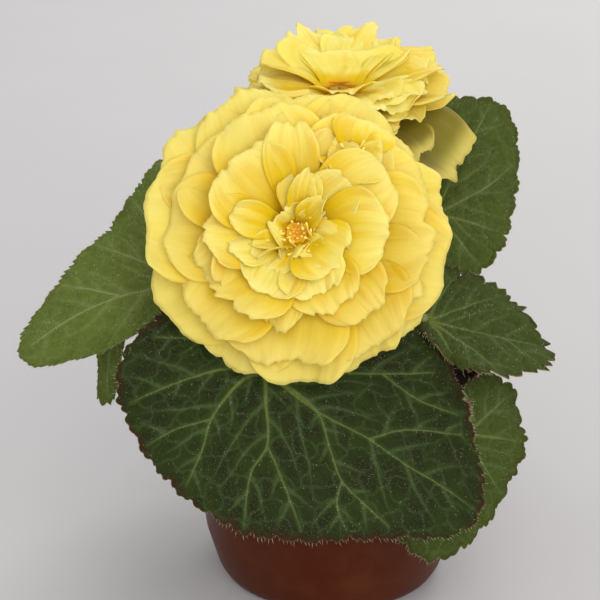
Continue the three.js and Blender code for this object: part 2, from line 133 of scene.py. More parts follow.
# %% Points, facts and maps
def points_of(piece):
    """The piece's vertices in millimetres, one row each."""
    flat = np.empty(3 * len(piece.data.vertices))
    piece.data.vertices.foreach_get("co", flat)
    return flat.reshape(-1, 3) / MM


def set_points(piece, points):
    piece.data.vertices.foreach_set("co", (points * MM).ravel())
    piece.data.update()


def add_fact(piece, name, values):
    """Stores one number for each vertex, for the material to read."""
    piece.data.attributes.new(name, "FLOAT", "POINT").data.foreach_set("value", values)


def add_map(piece, name, across, along):
    """Stores a UV map that is given by vertex, not by corner."""
    corner = np.empty(len(piece.data.loops), int)
    piece.data.loops.foreach_get("vertex_index", corner)
    layer = piece.data.uv_layers.new(name=name)
    layer.data.foreach_set("uv", np.column_stack([across[corner], along[corner]]).ravel())


# %% Grids, modifiers and the hand-over
def grid(name, across, along):
    """A flat grid, with u from -1 to 1 across it and v from 0 to 1 along it at each vertex."""
    bpy.ops.object.select_all(action="DESELECT")
    bpy.ops.mesh.primitive_grid_add(
        x_subdivisions=across, y_subdivisions=along, size=2, calc_uvs=False
    )
    piece = bpy.context.object
    piece.name = piece.data.name = name
    flat = points_of(piece) * MM
    return piece, flat[:, 0], (flat[:, 1] + 1) / 2


def apply_modifier(piece, kind, **settings):
    pick(piece)
    modifier = piece.modifiers.new(kind.title(), kind)
    for key, value in settings.items():
        setattr(modifier, key, value)
    bpy.ops.object.modifier_apply(modifier=modifier.name)


def join(name, pieces):
    """Joins pieces into the first one, which gets the name."""
    pick(*pieces)
    if len(pieces) > 1:
        bpy.ops.object.join()
    pieces[0].name = pieces[0].data.name = name
    return pieces[0]


def place(piece, matrix):
    """Moves a mesh, and not its object, from its own frame in millimetres to the plant's."""
    in_metres = Matrix.Scale(MM, 4) @ matrix @ Matrix.Scale(1 / MM, 4)
    piece.data.transform(in_metres)


def hand_over(piece, slot, *nodes):
    """Fixes a finished piece to the plant and lets it stand for its solids."""
    pick(piece)
    bpy.ops.object.shade_smooth()
    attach(piece, "root")
    if nodes:
        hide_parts(*nodes)
    print(piece.name, len(piece.data.polygons), "faces")


# %% [markdown]
# ## Materials in nodes
# A surface's colour here is never one flat value. Each material is a small graph of nodes: a
# pattern with a real size in millimetres picks between two or three colours of the real thing. The
# colours are typed as on a colour chart, in sRGB, while the renderer mixes light in linear values,
# so one function turns the first into the second.
#
# A second one adds a node of any kind, with its options and inputs. Five kinds do nearly all the
# work. Noise Texture makes clouds, whose patches have half the inverse of its scale for a size. Map
# Range eases a value between two limits into a share from 0 to 1, or between two others. Math
# multiplies shares. Mix lays one colour (input 7) over another (input 6) as far as a share (input
# 0) says, and gives it as output 2. Bump turns a height into relief.

# %% Colours and nodes
def linear(sheet_colour):
    """A colour such as "#ecd46f" as the renderer needs it, with full opacity."""
    levels = [int(sheet_colour[i : i + 2], 16) / 255 for i in (1, 3, 5)]
    return [c / 12.92 if c <= 0.04045 else ((c + 0.055) / 1.055) ** 2.4 for c in levels] + [1]


def node(tree, kind, settings=(), output=0, **links):
    """Adds a node and returns an output: settings are its options, links its inputs.

    An input goes by its name, or by i and its number. It gets a value, a colour such as "#ecd46f",
    or another node's output.
    """
    made = tree.nodes.new("ShaderNode" + kind)
    for key, value in dict(settings).items():
        setattr(made, key, value)
    for key, value in links.items():
        entry = made.inputs[int(key[1:]) if key[1:].isdigit() else key.replace("_", " ")]
        if isinstance(value, bpy.types.NodeSocket):
            tree.links.new(value, entry)
        else:
            entry.default_value = linear(value) if isinstance(value, str) else value
    return made.outputs[output]


print("a terracotta of #501f07 is", [round(c, 3) for c in linear("#501f07")], "in linear light")

# %% What many nodes share
IN_COLOUR = {"data_type": "RGBA"}
SMOOTHLY = {"interpolation_type": "SMOOTHSTEP"}
TIMES = {"operation": "MULTIPLY"}
TIMES_PLUS = {"operation": "MULTIPLY_ADD"}
UNSIGNED = {"operation": "ABSOLUTE"}
CLOUDY = {"Detail": 3, "Roughness": 0.55}
FADES = {"To_Min": 1, "To_Max": 0}


def on_object(tree, x=1.0, y=1.0, z=1.0):
    """Object coordinates in millimetres, stretched along an axis where asked."""
    where = node(tree, "TexCoord", output="Object")
    return node(tree, "Mapping", Vector=where, Scale=(x / MM, y / MM, z / MM))


# %% Materials
def new_material(name):
    """An empty material, with its node tree and the input that takes its surface."""
    material = bpy.data.materials.new(name)
    material.use_nodes = True
    tree = material.node_tree
    tree.nodes.clear()
    return material, tree, tree.nodes.new("ShaderNodeOutputMaterial").inputs["Surface"]


def see_through(tree, share, skin, colour, relief):
    """A thin skin, of which a share of the light goes through."""
    glow = node(tree, "BsdfTranslucent", Color=colour, Normal=relief)
    return node(tree, "MixShader", i0=share, i1=skin, i2=glow)


# %% [markdown]
# ## Turned forms
# The pot, the tuber and the swollen end of a flower stalk are round about an axis, as if turned on a
# lathe. By hand such a form grows from one ring: the ring is extruded upwards and resized, again and
# again, along a half section of [radius, height] points. That keeps every ring at its exact size.
# Rings that would have no radius at all are left out, and their hole is filled instead.

# %% Turned forms
def turned(name, section, sides):
    """A closed form of revolution about z from its half section, bottom first."""
    radius, height = section[0]
    bpy.ops.object.select_all(action="DESELECT")
    bpy.ops.mesh.primitive_circle_add(
        vertices=sides, radius=radius * MM, fill_type="NOTHING", location=(0, 0, height * MM)
    )
    piece = bpy.context.object
    bpy.ops.object.transform_apply(location=True)
    bpy.ops.object.mode_set(mode="EDIT")
    bpy.ops.mesh.select_all(action="SELECT")
    bpy.ops.mesh.edge_face_add()
    for next_radius, next_height in section[1:]:
        rise = (0, 0, (next_height - height) * MM)
        bpy.ops.mesh.extrude_region_move(TRANSFORM_OT_translate={"value": rise})
        factor = next_radius / radius
        bpy.ops.transform.resize(value=(factor, factor, 1))
        radius, height = next_radius, next_height
    bpy.ops.mesh.select_all(action="SELECT")
    face_outwards()
    bpy.ops.object.mode_set(mode="OBJECT")
    piece.name = piece.data.name = name
    return piece


# %% [markdown]
# ## Round limbs
# Stems, leaf stalks and filaments are tapering tubes along a smooth curve. A curve object with a
# bevel would do, but here a limb must follow exactly the line that its solid follows, so a flat grid
# is rolled round that line: one row of faces runs along, the other goes round. The line passes
# through its points at a speed that depends on their spacing, which keeps it from looping.

# %% Round limbs
STEPS_PER_KNOT = 20
# no limb starts in this direction, so every limb can take its first side from it
OFF_EVERY_LIMB = (0.31, 0.87, 0.12)


def through(points, steps):
    """A smooth line through points, as evenly spaced points and unit tangents."""
    knots = [Vector(p) for p in points]
    knots = [2 * knots[0] - knots[1], *knots, 2 * knots[-1] - knots[-2]]
    line = []
    for k in range(1, len(knots) - 2):
        p0, p1, p2, p3 = knots[k - 1 : k + 3]
        pairs = ((p0, p1), (p1, p2), (p2, p3))
        d0, d1, d2 = [max((b - a).length ** 0.5, 1e-4) for a, b in pairs]
        leave = ((p1 - p0) / d0 - (p2 - p0) / (d0 + d1) + (p2 - p1) / d1) * d1
        arrive = ((p2 - p1) / d1 - (p3 - p1) / (d1 + d2) + (p3 - p2) / d2) * d1
        for i in range(STEPS_PER_KNOT):
            t = i / STEPS_PER_KNOT
            bend = t * t * (3 - 2 * t)
            ease = t * (1 - t) ** 2
            line.append(p1 + bend * (p2 - p1) + ease * leave - t * t * (1 - t) * arrive)
    line = np.array([*line, knots[-2]])
    travelled = np.concatenate([[0], np.cumsum(np.linalg.norm(np.diff(line, axis=0), axis=1))])
    wanted = np.linspace(0, travelled[-1], steps + 1)
    even = np.column_stack([np.interp(wanted, travelled, line[:, k]) for k in range(3)])
    tangents = np.gradient(even, axis=0)
    return even, tangents / np.linalg.norm(tangents, axis=1, keepdims=True)


def limb(name, points, radii, steps, sides):
    """A tapering tube along a smooth line, rounded shut at both ends. `radii` are spread evenly."""
    line, tangents = through(points, steps)
    side = np.cross(tangents[0], OFF_EVERY_LIMB)
    sides_of = []
    for tangent in tangents:
        side = side - tangent * (side @ tangent)
        side /= np.linalg.norm(side)
        sides_of.append(side.copy())
    sides_of = np.array(sides_of)
    over = np.cross(tangents, sides_of)
    piece, u, v = grid(name, sides, steps)
    row = np.rint(v * steps).astype(int)
    rounded = np.sqrt(np.clip(4 * steps * np.minimum(v, 1 - v), 0, 1))
    radius = np.interp(v, np.linspace(0, 1, len(radii)), radii) * rounded
    turn = math.pi * u
    out = np.cos(turn)[:, None] * sides_of[row] + np.sin(turn)[:, None] * over[row]
    set_points(piece, line[row] + radius[:, None] * out)
    add_map(piece, "around", turn * max(radii), v * steps)
    in_edit_mode(piece, merge_seam, face_outwards)
    return piece


# %% [markdown]
# ## Small things in numbers
# Hairs, crumbs of soil and grains come in hundreds. One is modelled with care and few faces, and its
# copies are laid straight into a single mesh, since hundreds of objects joined by hand would take
# longer than all the rest. The copies differ in place, turn and size.

# %% Small things in numbers
def strewn(name, model, matrices):
    """Copies of a model, each moved by its own matrix in millimetres, as one piece."""
    shape = np.column_stack([points_of(model), np.ones(len(model.data.vertices))])
    faces = [tuple(face.vertices) for face in model.data.polygons]
    points = np.concatenate([(shape @ np.array(matrix).T)[:, :3] for matrix in matrices])
    step = len(shape)
    all_faces = [
        tuple(step * i + k for k in face) for i in range(len(matrices)) for face in faces
    ]
    mesh = bpy.data.meshes.new(name)
    mesh.from_pydata((points * MM).tolist(), [], all_faces)
    piece = bpy.data.objects.new(name, mesh)
    bpy.context.collection.objects.link(piece)
    bpy.data.objects.remove(model)
    return piece


def turned_to(direction, spin=0.0):
    """A rotation that takes z to a direction."""
    aim = Vector(direction).to_track_quat("Z", "X").to_matrix().to_4x4()
    return aim @ Matrix.Rotation(spin, 4, "Z")


HAIR_RADIUS = 0.055


def hair_model():
    """One hair, 1 mm long along z, three-sided."""
    bpy.ops.object.select_all(action="DESELECT")
    bpy.ops.mesh.primitive_cone_add(
        vertices=3, radius1=HAIR_RADIUS * MM, radius2=0, depth=MM, location=(0, 0, 0.5 * MM)
    )
    bpy.ops.object.transform_apply(location=True)
    return bpy.context.object


# %% [markdown]
# # The pot
# A nursery pot is injection-moulded polypropylene: a cone for easy release from the mould, a collar
# that stiffens the rim and lets pots nest, and a rounded base that stands on a narrow foot ring with
# three shallow gaps, so that water can run out from under it. It could be cut from a cylinder, but
# rings of exact sizes follow the mould better. Bevels soften the edges as a mould does.

# %% The pot's form
POT_SIDES = 96
POT_SECTION = [
    # underside, foot ring and rounded base
    [12, 0], [13, 2], [37.5, 2], [38.5, 0], [41.5, 0], [43.9, 1.6], [45.9, 5], [47.8, 11],
    # wall, collar and rim
    [50.4, 20], [57.4, 73], [59, 73.8], [60.5, 89], [59.7, 90],
    # inside
    [58.7, 90], [55.6, 73], [48.6, 20], [46, 11.5], [42, 4.2],
]
FOOT_GAPS = {"count": 3, "where": (0, -41.5, 0), "size": (50, 20, 2)}
DRAINS = {"count": 5, "where": (0, 26, 4.2), "size": (8, 8, 9)}
MOULD_ROUNDING = {"width": 0.45 * MM, "segments": 3, "angle_limit": math.radians(30)}


def one_box():
    bpy.ops.mesh.primitive_cube_add(size=MM)


def one_cylinder():
    bpy.ops.mesh.primitive_cylinder_add(vertices=24, radius=0.5 * MM, depth=MM)


def ring_of(one_tool, count, where, size):
    """Equal tools in a ring about z, joined, to cut with; `where` is the first one's middle."""
    tools = []
    for i in range(count):
        bpy.ops.object.select_all(action="DESELECT")
        one_tool()
        spot = Matrix.Rotation(2 * math.pi * i / count, 4, "Z") @ Matrix.Translation(where)
        place(bpy.context.object, spot @ Matrix.Diagonal((*size, 1)))
        tools.append(bpy.context.object)
    return join("cutter", tools)


def cut(piece, tool):
    apply_modifier(piece, "BOOLEAN", operation="DIFFERENCE", object=tool, solver="EXACT")
    bpy.data.objects.remove(tool)


pot = turned("nursery_pot", POT_SECTION, POT_SIDES)
apply_modifier(pot, "BEVEL", limit_method="ANGLE", **MOULD_ROUNDING)
cut(pot, ring_of(one_box, **FOOT_GAPS))
cut(pot, ring_of(one_cylinder, **DRAINS))
print("pot:", len(pot.data.vertices), "vertices")

# %% [markdown]
# The pot's plastic is polypropylene coloured terracotta brown, with a satin mould finish: a soft,
# wide shine and no sharp reflections. Up close the wall shows faint flow marks in rings, a fine
# grain, and patches of dust and dried lime water.

# %% Moulded polypropylene
def moulded_polypropylene():
    material, tree, surface_of = new_material("moulded_polypropylene")
    where, round_wall = on_object(tree), on_object(tree, 0.06, 0.06, 1)
    dust = node(tree, "TexNoise", Vector=where, Scale=0.5 / 9, Detail=5, Roughness=0.62)
    dust = node(tree, "MapRange", SMOOTHLY, Value=dust, From_Min=0.4, From_Max=0.75)
    rings = node(tree, "TexNoise", Vector=round_wall, Scale=0.5 / 1.6, **CLOUDY)
    grain = node(tree, "TexNoise", Vector=where, Scale=0.5 / 0.5, Detail=2, Roughness=0.55)
    dark_rings = node(tree, "Math", TIMES, i0=rings, i1=0.5)
    thin_dust = node(tree, "Math", TIMES, i0=dust, i1=0.18)
    colour = node(tree, "Mix", IN_COLOUR, 2, i0=dark_rings, i6="#501f07", i7="#421905")
    colour = node(tree, "Mix", IN_COLOUR, 2, i0=thin_dust, i6=colour, i7="#7a4a2e")
    relief = node(tree, "Bump", Height=grain, Distance=0.05 * MM, Strength=0.5)
    relief = node(tree, "Bump", Height=rings, Distance=0.12 * MM, Strength=0.4, Normal=relief)
    shine = node(tree, "MapRange", SMOOTHLY, Value=dust, To_Min=0.4, To_Max=0.56)
    surface = node(
        tree, "BsdfPrincipled", Base_Color=colour, Roughness=shine, Normal=relief, IOR=1.49,
        Specular_IOR_Level=0.14,
    )
    tree.links.new(surface, surface_of)
    return material


pot.data.materials.append(moulded_polypropylene())
hand_over(pot, "pot_plastic", "pot")

# %% [markdown]
# # Potting soil
# Potting soil is peat with bark fibre, here a gently uneven bed with crumbs lying on it and a few
# white grains of perlite. The bed closes over the whole inside of the pot, as its solid does. Its
# surface gets a fine relief, and the crumbs are small balls with few faces, pressed out of round.

# %% The bed of soil
SOIL_TOP = 80
SOIL_SECTION = [
    # the inside of the pot
    [12, 4.5], [41, 4.5], [45.3, 11.5], [48.1, 20], [55.3, 73], [56.5, SOIL_TOP],
    # the bed, in rings 3 mm wide
    *([radius, SOIL_TOP] for radius in range(54, 24, -3)),
    # the seat of the tuber
    [24, 79.6], [23.3, 79.2], [22.3, 73.7], [17.3, 67.7], [9.3, 63.2],
]
BED_EDGES = (23.9, 56)
BED_HUMP, BED_GRAIN = 0.8, 0.35


def bed_height(x, y):
    """The soft humps of the bed."""
    return SOIL_TOP + BED_HUMP * (np.sin(0.31 * x + 0.12 * y) + np.sin(0.27 * y - 0.19 * x + 2))


soil = turned("soil_bed", SOIL_SECTION, 144)
x, y, z = points_of(soil).T
from_axis = np.hypot(x, y)
loose = (z > SOIL_TOP - 1) & (from_axis > BED_EDGES[0]) & (from_axis < BED_EDGES[1])
draw = draws(5)
rough = np.array([draw() for _ in z])
z = np.where(loose, bed_height(x, y) + BED_GRAIN * rough, z)
set_points(soil, np.column_stack([x, y, z]))


# %% Crumbs on the bed
def crumb_model(squash):
    """A small ball, pressed out of round."""
    bpy.ops.object.select_all(action="DESELECT")
    bpy.ops.mesh.primitive_ico_sphere_add(subdivisions=1, radius=MM)
    bpy.ops.transform.resize(value=squash)
    bpy.ops.object.transform_apply(scale=True)
    return bpy.context.object


def crumbs(name, count, seed, squash, sizes):
    """Crumbs that lie on the bed, between the tuber and the wall."""
    draw = draws(seed)
    spots = []
    for _ in range(count):
        turn = math.pi * draw()
        out = 40 + 15 * draw()
        x, y = out * math.cos(turn), out * math.sin(turn)
        size = sizes[0] + (sizes[1] - sizes[0]) * draw() ** 2
        spot = Matrix.Translation((x, y, float(bed_height(x, y)) + 0.3 * size))
        tumble = Euler((3 * draw(), 3 * draw(), 3 * draw())).to_matrix().to_4x4()
        spots.append(spot @ tumble @ Matrix.Scale(size, 4))
    return strewn(name, crumb_model(squash), spots)


# count, seed, the ball's squash and the range of radii
peat = crumbs("peat_crumbs", 700, 3, (1, 0.75, 0.6), (0.7, 2))
bark = crumbs("bark_flakes", 90, 8, (1.8, 0.6, 0.28), (1.2, 2.6))
perlite = crumbs("perlite_grains", 70, 14, (1, 0.9, 0.8), (0.7, 1.7))
print("crumbs:", [len(piece.data.polygons) for piece in (peat, bark, perlite)])

# %% [markdown]
# Moist peat is almost black where it is wet and rusty brown where it dries. Perlite is blown
# volcanic glass, chalk white and dull, stained a little by the peat.

# %% Peat and perlite
def moist_peat():
    material, tree, surface_of = new_material("moist_peat")
    where = on_object(tree)
    patches = node(tree, "TexNoise", Vector=where, Scale=0.5 / 6, Detail=5, Roughness=0.7)
    patches = node(tree, "MapRange", SMOOTHLY, Value=patches, From_Min=0.35, From_Max=0.7)
    fibre = node(tree, "TexNoise", Vector=where, Scale=0.5 / 0.9, Detail=4, Roughness=0.7)
    dry = node(tree, "MapRange", SMOOTHLY, Value=fibre, From_Min=0.55, From_Max=0.75)
    colour = node(tree, "Mix", IN_COLOUR, 2, i0=patches, i6="#2a1b12", i7="#4a3220")
    colour = node(tree, "Mix", IN_COLOUR, 2, i0=dry, i6=colour, i7="#6b4c30")
    relief = node(tree, "Bump", Height=fibre, Distance=0.8 * MM, Strength=0.8)
    surface = node(tree, "BsdfPrincipled", Base_Color=colour, Roughness=0.93, Normal=relief)
    tree.links.new(surface, surface_of)
    return material


def blown_perlite():
    material, tree, surface_of = new_material("blown_perlite")
    where = on_object(tree)
    stain = node(tree, "TexNoise", Vector=where, Scale=0.5 / 1.5, **CLOUDY)
    stain = node(tree, "MapRange", SMOOTHLY, Value=stain, From_Min=0.45, From_Max=0.7)
    pores = node(tree, "TexNoise", Vector=where, Scale=0.5 / 0.4, **CLOUDY)
    colour = node(tree, "Mix", IN_COLOUR, 2, i0=stain, i6="#dcd8cc", i7="#a89a84")
    relief = node(tree, "Bump", Height=pores, Distance=0.3 * MM, Strength=0.7)
    surface = node(tree, "BsdfPrincipled", Base_Color=colour, Roughness=0.9, Normal=relief)
    tree.links.new(surface, surface_of)
    return material


peat_look = moist_peat()
for piece in (soil, peat, bark):
    piece.data.materials.append(peat_look)
perlite.data.materials.append(blown_perlite())
bed = join("potting_soil", [soil, peat, bark, perlite])
hand_over(bed, "potting_soil", "soil")

# %% [markdown]
# # The tuber
# A begonia tuber is a flattened, hollow-crowned ball with corky brown skin. It swells unevenly into
# low knobs and sits half in the soil with its hollow upwards, where the stem grows out. The knobs
# are the ones of its solid, and a Displace modifier with a noise texture adds the corky roughness.
# Dry ends of roots stand round its shoulder.

# %% The tuber's form
KNOB_DEPTH = 0.02
TUBER_SECTION = [
    [2, 62.1], [5, 62.5], [9, 63.5], [13.5, 65.6], [17, 68], [20, 71], [22, 74], [22.8, 77],
    [23, 79.5], [22.2, 81.6], [21, 83.2], [19.5, 84], [17.4, 83.8], [15, 83], [11.5, 81.2],
    [8, 80], [4, 79.3], [2, 79.1],
]

tuber = turned("begonia_tuber", TUBER_SECTION, 96)
skin = points_of(tuber)
turn = np.arctan2(skin[:, 1], skin[:, 0])
knobs = np.sin(5 * turn + 1) + np.sin(9 * turn + 0.3 * skin[:, 2])
skin[:, :2] *= (1 - KNOB_DEPTH * (2 + knobs))[:, None]
set_points(tuber, skin)
cork = bpy.data.textures.new("cork", "CLOUDS")
cork.noise_scale = 3.5 * MM
cork.noise_depth = 3
apply_modifier(
    tuber, "DISPLACE", texture=cork, strength=1.1 * MM, mid_level=0.55, texture_coords="LOCAL"
)
print("tuber:", [round(x) for x in 2 * points_of(tuber).max(axis=0)[:2]], "mm across")

# %% Root stubs and corky skin
ROOT_STUBS = 60


def root_stubs():
    """Short dry ends of roots round the tuber's shoulder."""
    draw = draws(21)
    spots = []
    for _ in range(ROOT_STUBS):
        turn = math.pi * draw()
        height = 80.5 + 2.5 * draw()
        out = 20.7 + 0.6 * draw()
        where = Matrix.Translation((out * math.cos(turn), out * math.sin(turn), height))
        aim = turned_to((math.cos(turn), math.sin(turn), 0.6 * draw()))
        spots.append(where @ aim @ Matrix.Diagonal((4, 4, 1.6 + draw(), 1)))
    return strewn("root_stubs", hair_model(), spots)


def corky_skin():
    """Cork gives a dull, cracked brown skin with paler scars."""
    material, tree, surface_of = new_material("corky_skin")
    where = on_object(tree)
    patches = node(tree, "TexNoise", Vector=where, Scale=0.5 / 5, Detail=5, Roughness=0.65)
    patches = node(tree, "MapRange", SMOOTHLY, Value=patches, From_Min=0.35, From_Max=0.68)
    to_edge = {"feature": "DISTANCE_TO_EDGE"}
    cracks = node(tree, "TexVoronoi", to_edge, "Distance", Vector=where, Scale=0.42)
    cracks = node(tree, "MapRange", SMOOTHLY, Value=cracks, From_Max=0.12, **FADES)
    dark_cracks = node(tree, "Math", TIMES, i0=cracks, i1=0.55)
    warts = node(tree, "TexNoise", Vector=where, Scale=0.5 / 0.8, Detail=4, Roughness=0.55)
    colour = node(tree, "Mix", IN_COLOUR, 2, i0=patches, i6="#4c3020", i7="#8a6647")
    colour = node(tree, "Mix", IN_COLOUR, 2, i0=dark_cracks, i6=colour, i7="#2c1a10")
    relief = node(tree, "Bump", Height=warts, Distance=0.5 * MM, Strength=0.7)
    relief = node(tree, "Bump", Height=cracks, Distance=-0.3 * MM, Strength=0.8, Normal=relief)
    surface = node(tree, "BsdfPrincipled", Base_Color=colour, Roughness=0.86, Normal=relief)
    tree.links.new(surface, surface_of)
    return material


tuber = join("begonia_tuber", [tuber, root_stubs()])
tuber.data.materials.append(corky_skin())
hand_over(tuber, "tuber_skin", "tuber")

# %% [markdown]
# # The stem and its hairs
# The stem is fleshy and almost translucent, reddish brown, a little swollen where it forks, and set
# with short pale hairs. Its three limbs follow the lines of the solid. Where they meet they simply
# run into each other, as the flesh of a fork does, with no seam to hide under the leaves.

# %% Limbs of the stem
# the points that each limb's middle line runs through, and its radii from foot to tip
STEM_LIMBS = {
    "trunk": (
        [[0, 0, 76.3], [1, -1, 95], [0, 0, 112], [0, -1, 126]],
        [6.2, 5.8, 5.3, 5, 4.6],
    ),
    "front_stalk": (
        [[0, -1, 121], [-3, -9, 135], [-9, -24, 148], [-13, -41, 154.9]],
        [4, 3.6, 3.2, 2.9, 2.7],
    ),
    "rear_stalk": (
        [[0, 0, 121], [1, 5, 140], [3, 13, 160], [4, 21.5, 183]],
        [4, 3.6, 3.2, 2.8, 2.6],
    ),
}
limbs = [limb(name, line, radii, 36, 20) for name, (line, radii) in STEM_LIMBS.items()]
print("limbs:", [len(piece.data.polygons) for piece in limbs], "faces")

# %% Hairs
UNEVEN = 0.4


def hairs_on(name, spots, seed, length, stout=1.0):
    """Hairs at [point, outward direction] spots, each with its own lean and length."""
    draw = draws(seed)
    matrices = []
    for point, outward in spots:
        lean = Vector(outward) + UNEVEN * Vector((draw(), draw(), draw()))
        tall = length * (1 + UNEVEN * draw())
        slender = Matrix.Diagonal((stout, stout, tall, 1))
        matrices.append(Matrix.Translation(point) @ turned_to(lean, 3 * draw()) @ slender)
    return strewn(name, hair_model(), matrices)


def spots_on(piece, count, seed):
    """Points spread over a piece with the directions that its surface faces there."""
    draw = draws(seed)
    faces = piece.data.polygons
    areas = np.cumsum([face.area for face in faces])
    spots = []
    for _ in range(count):
        k = int(np.searchsorted(areas, areas[-1] * (draw() + 1) / 2))
        face = faces[min(k, len(faces) - 1)]
        spots.append([Vector(face.center) / MM, face.normal.copy()])
    return spots


# %% Fleshy skin and pale hair
def fleshy(name, shade, skin, patch):
    """Watery tissue under a thin red skin: light sinks in a little, and the shine is soft."""
    material, tree, surface_of = new_material(name)
    lengthwise = on_object(tree, 1, 1, 0.12)
    streaks = node(tree, "TexNoise", Vector=lengthwise, Scale=0.5 / 1.3, Detail=4, Roughness=0.55)
    streaky = node(tree, "MapRange", SMOOTHLY, Value=streaks, From_Min=0.35, From_Max=0.65)
    patches = node(tree, "TexNoise", Vector=on_object(tree), Scale=0.5 / 7, **CLOUDY)
    patches = node(tree, "MapRange", SMOOTHLY, Value=patches, From_Min=0.45, From_Max=0.7)
    colour = node(tree, "Mix", IN_COLOUR, 2, i0=streaky, i6=shade, i7=skin)
    colour = node(tree, "Mix", IN_COLOUR, 2, i0=patches, i6=colour, i7=patch)
    relief = node(tree, "Bump", Height=streaks, Distance=0.2 * MM, Strength=0.6)
    surface = node(
        tree, "BsdfPrincipled", Base_Color=colour, Roughness=0.42, Normal=relief,
        Subsurface_Weight=0.15, Subsurface_Scale=0.002,
    )
    tree.links.new(surface, surface_of)
    return material


def pale_hair():
    """Plant hair is clear and catches the light, so it reads as pale and silky."""
    material, tree, surface_of = new_material("pale_hair")
    tint = node(tree, "TexNoise", Vector=on_object(tree), Scale=0.5 / 4, **CLOUDY)
    tint = node(tree, "MapRange", SMOOTHLY, Value=tint, From_Min=0.4, From_Max=0.6)
    colour = node(tree, "Mix", IN_COLOUR, 2, i0=tint, i6="#e6dcc2", i7="#d0b894")
    surface = node(tree, "BsdfPrincipled", Base_Color=colour, Roughness=0.4)
    tree.links.new(surface, surface_of)
    return material


stem_look = fleshy("fleshy_stem", "#7a4630", "#9a6a42", "#8f8a4a")
stalk_look = fleshy("fleshy_leaf_stalk", "#5c4526", "#5f6a34", "#6f7c3c")
hair_look = pale_hair()
stem = join("forked_stem", limbs)
stem.data.materials.append(stem_look)
stem_hairs = hairs_on("stem_hairs", spots_on(stem, 500, 31), 32, 1.5)
stem_hairs.data.materials.append(hair_look)
hand_over(join("forked_stem", [stem, stem_hairs]), "stem_skin", "stem")

# %% [markdown]
# # The leaves
# A begonia leaf is lopsided: the stalk joins it off centre, and the main veins fan out from that
# point to the margin. So a blade is drawn round its junction, in its own frame: x to the tip, y to
# the left, z out of the upper face. `spread` is the distance from the junction to the margin at
# every 30 degrees, `point` draws the tip out, `curl` and `arch` bend the blade down along x and y,
# and `fold` lifts both halves off the midrib. These are the values of the solids.
#
# The rest is finer. `teeth` holds the height of the wide lobes, the spacing and the height of the
# teeth on them, and their kind, `grid` the number of faces round and outwards, and `youth` how fresh
# the green is. `veins` adds the main veins, each as points of [degrees from the tip, millimetres
# from the junction].

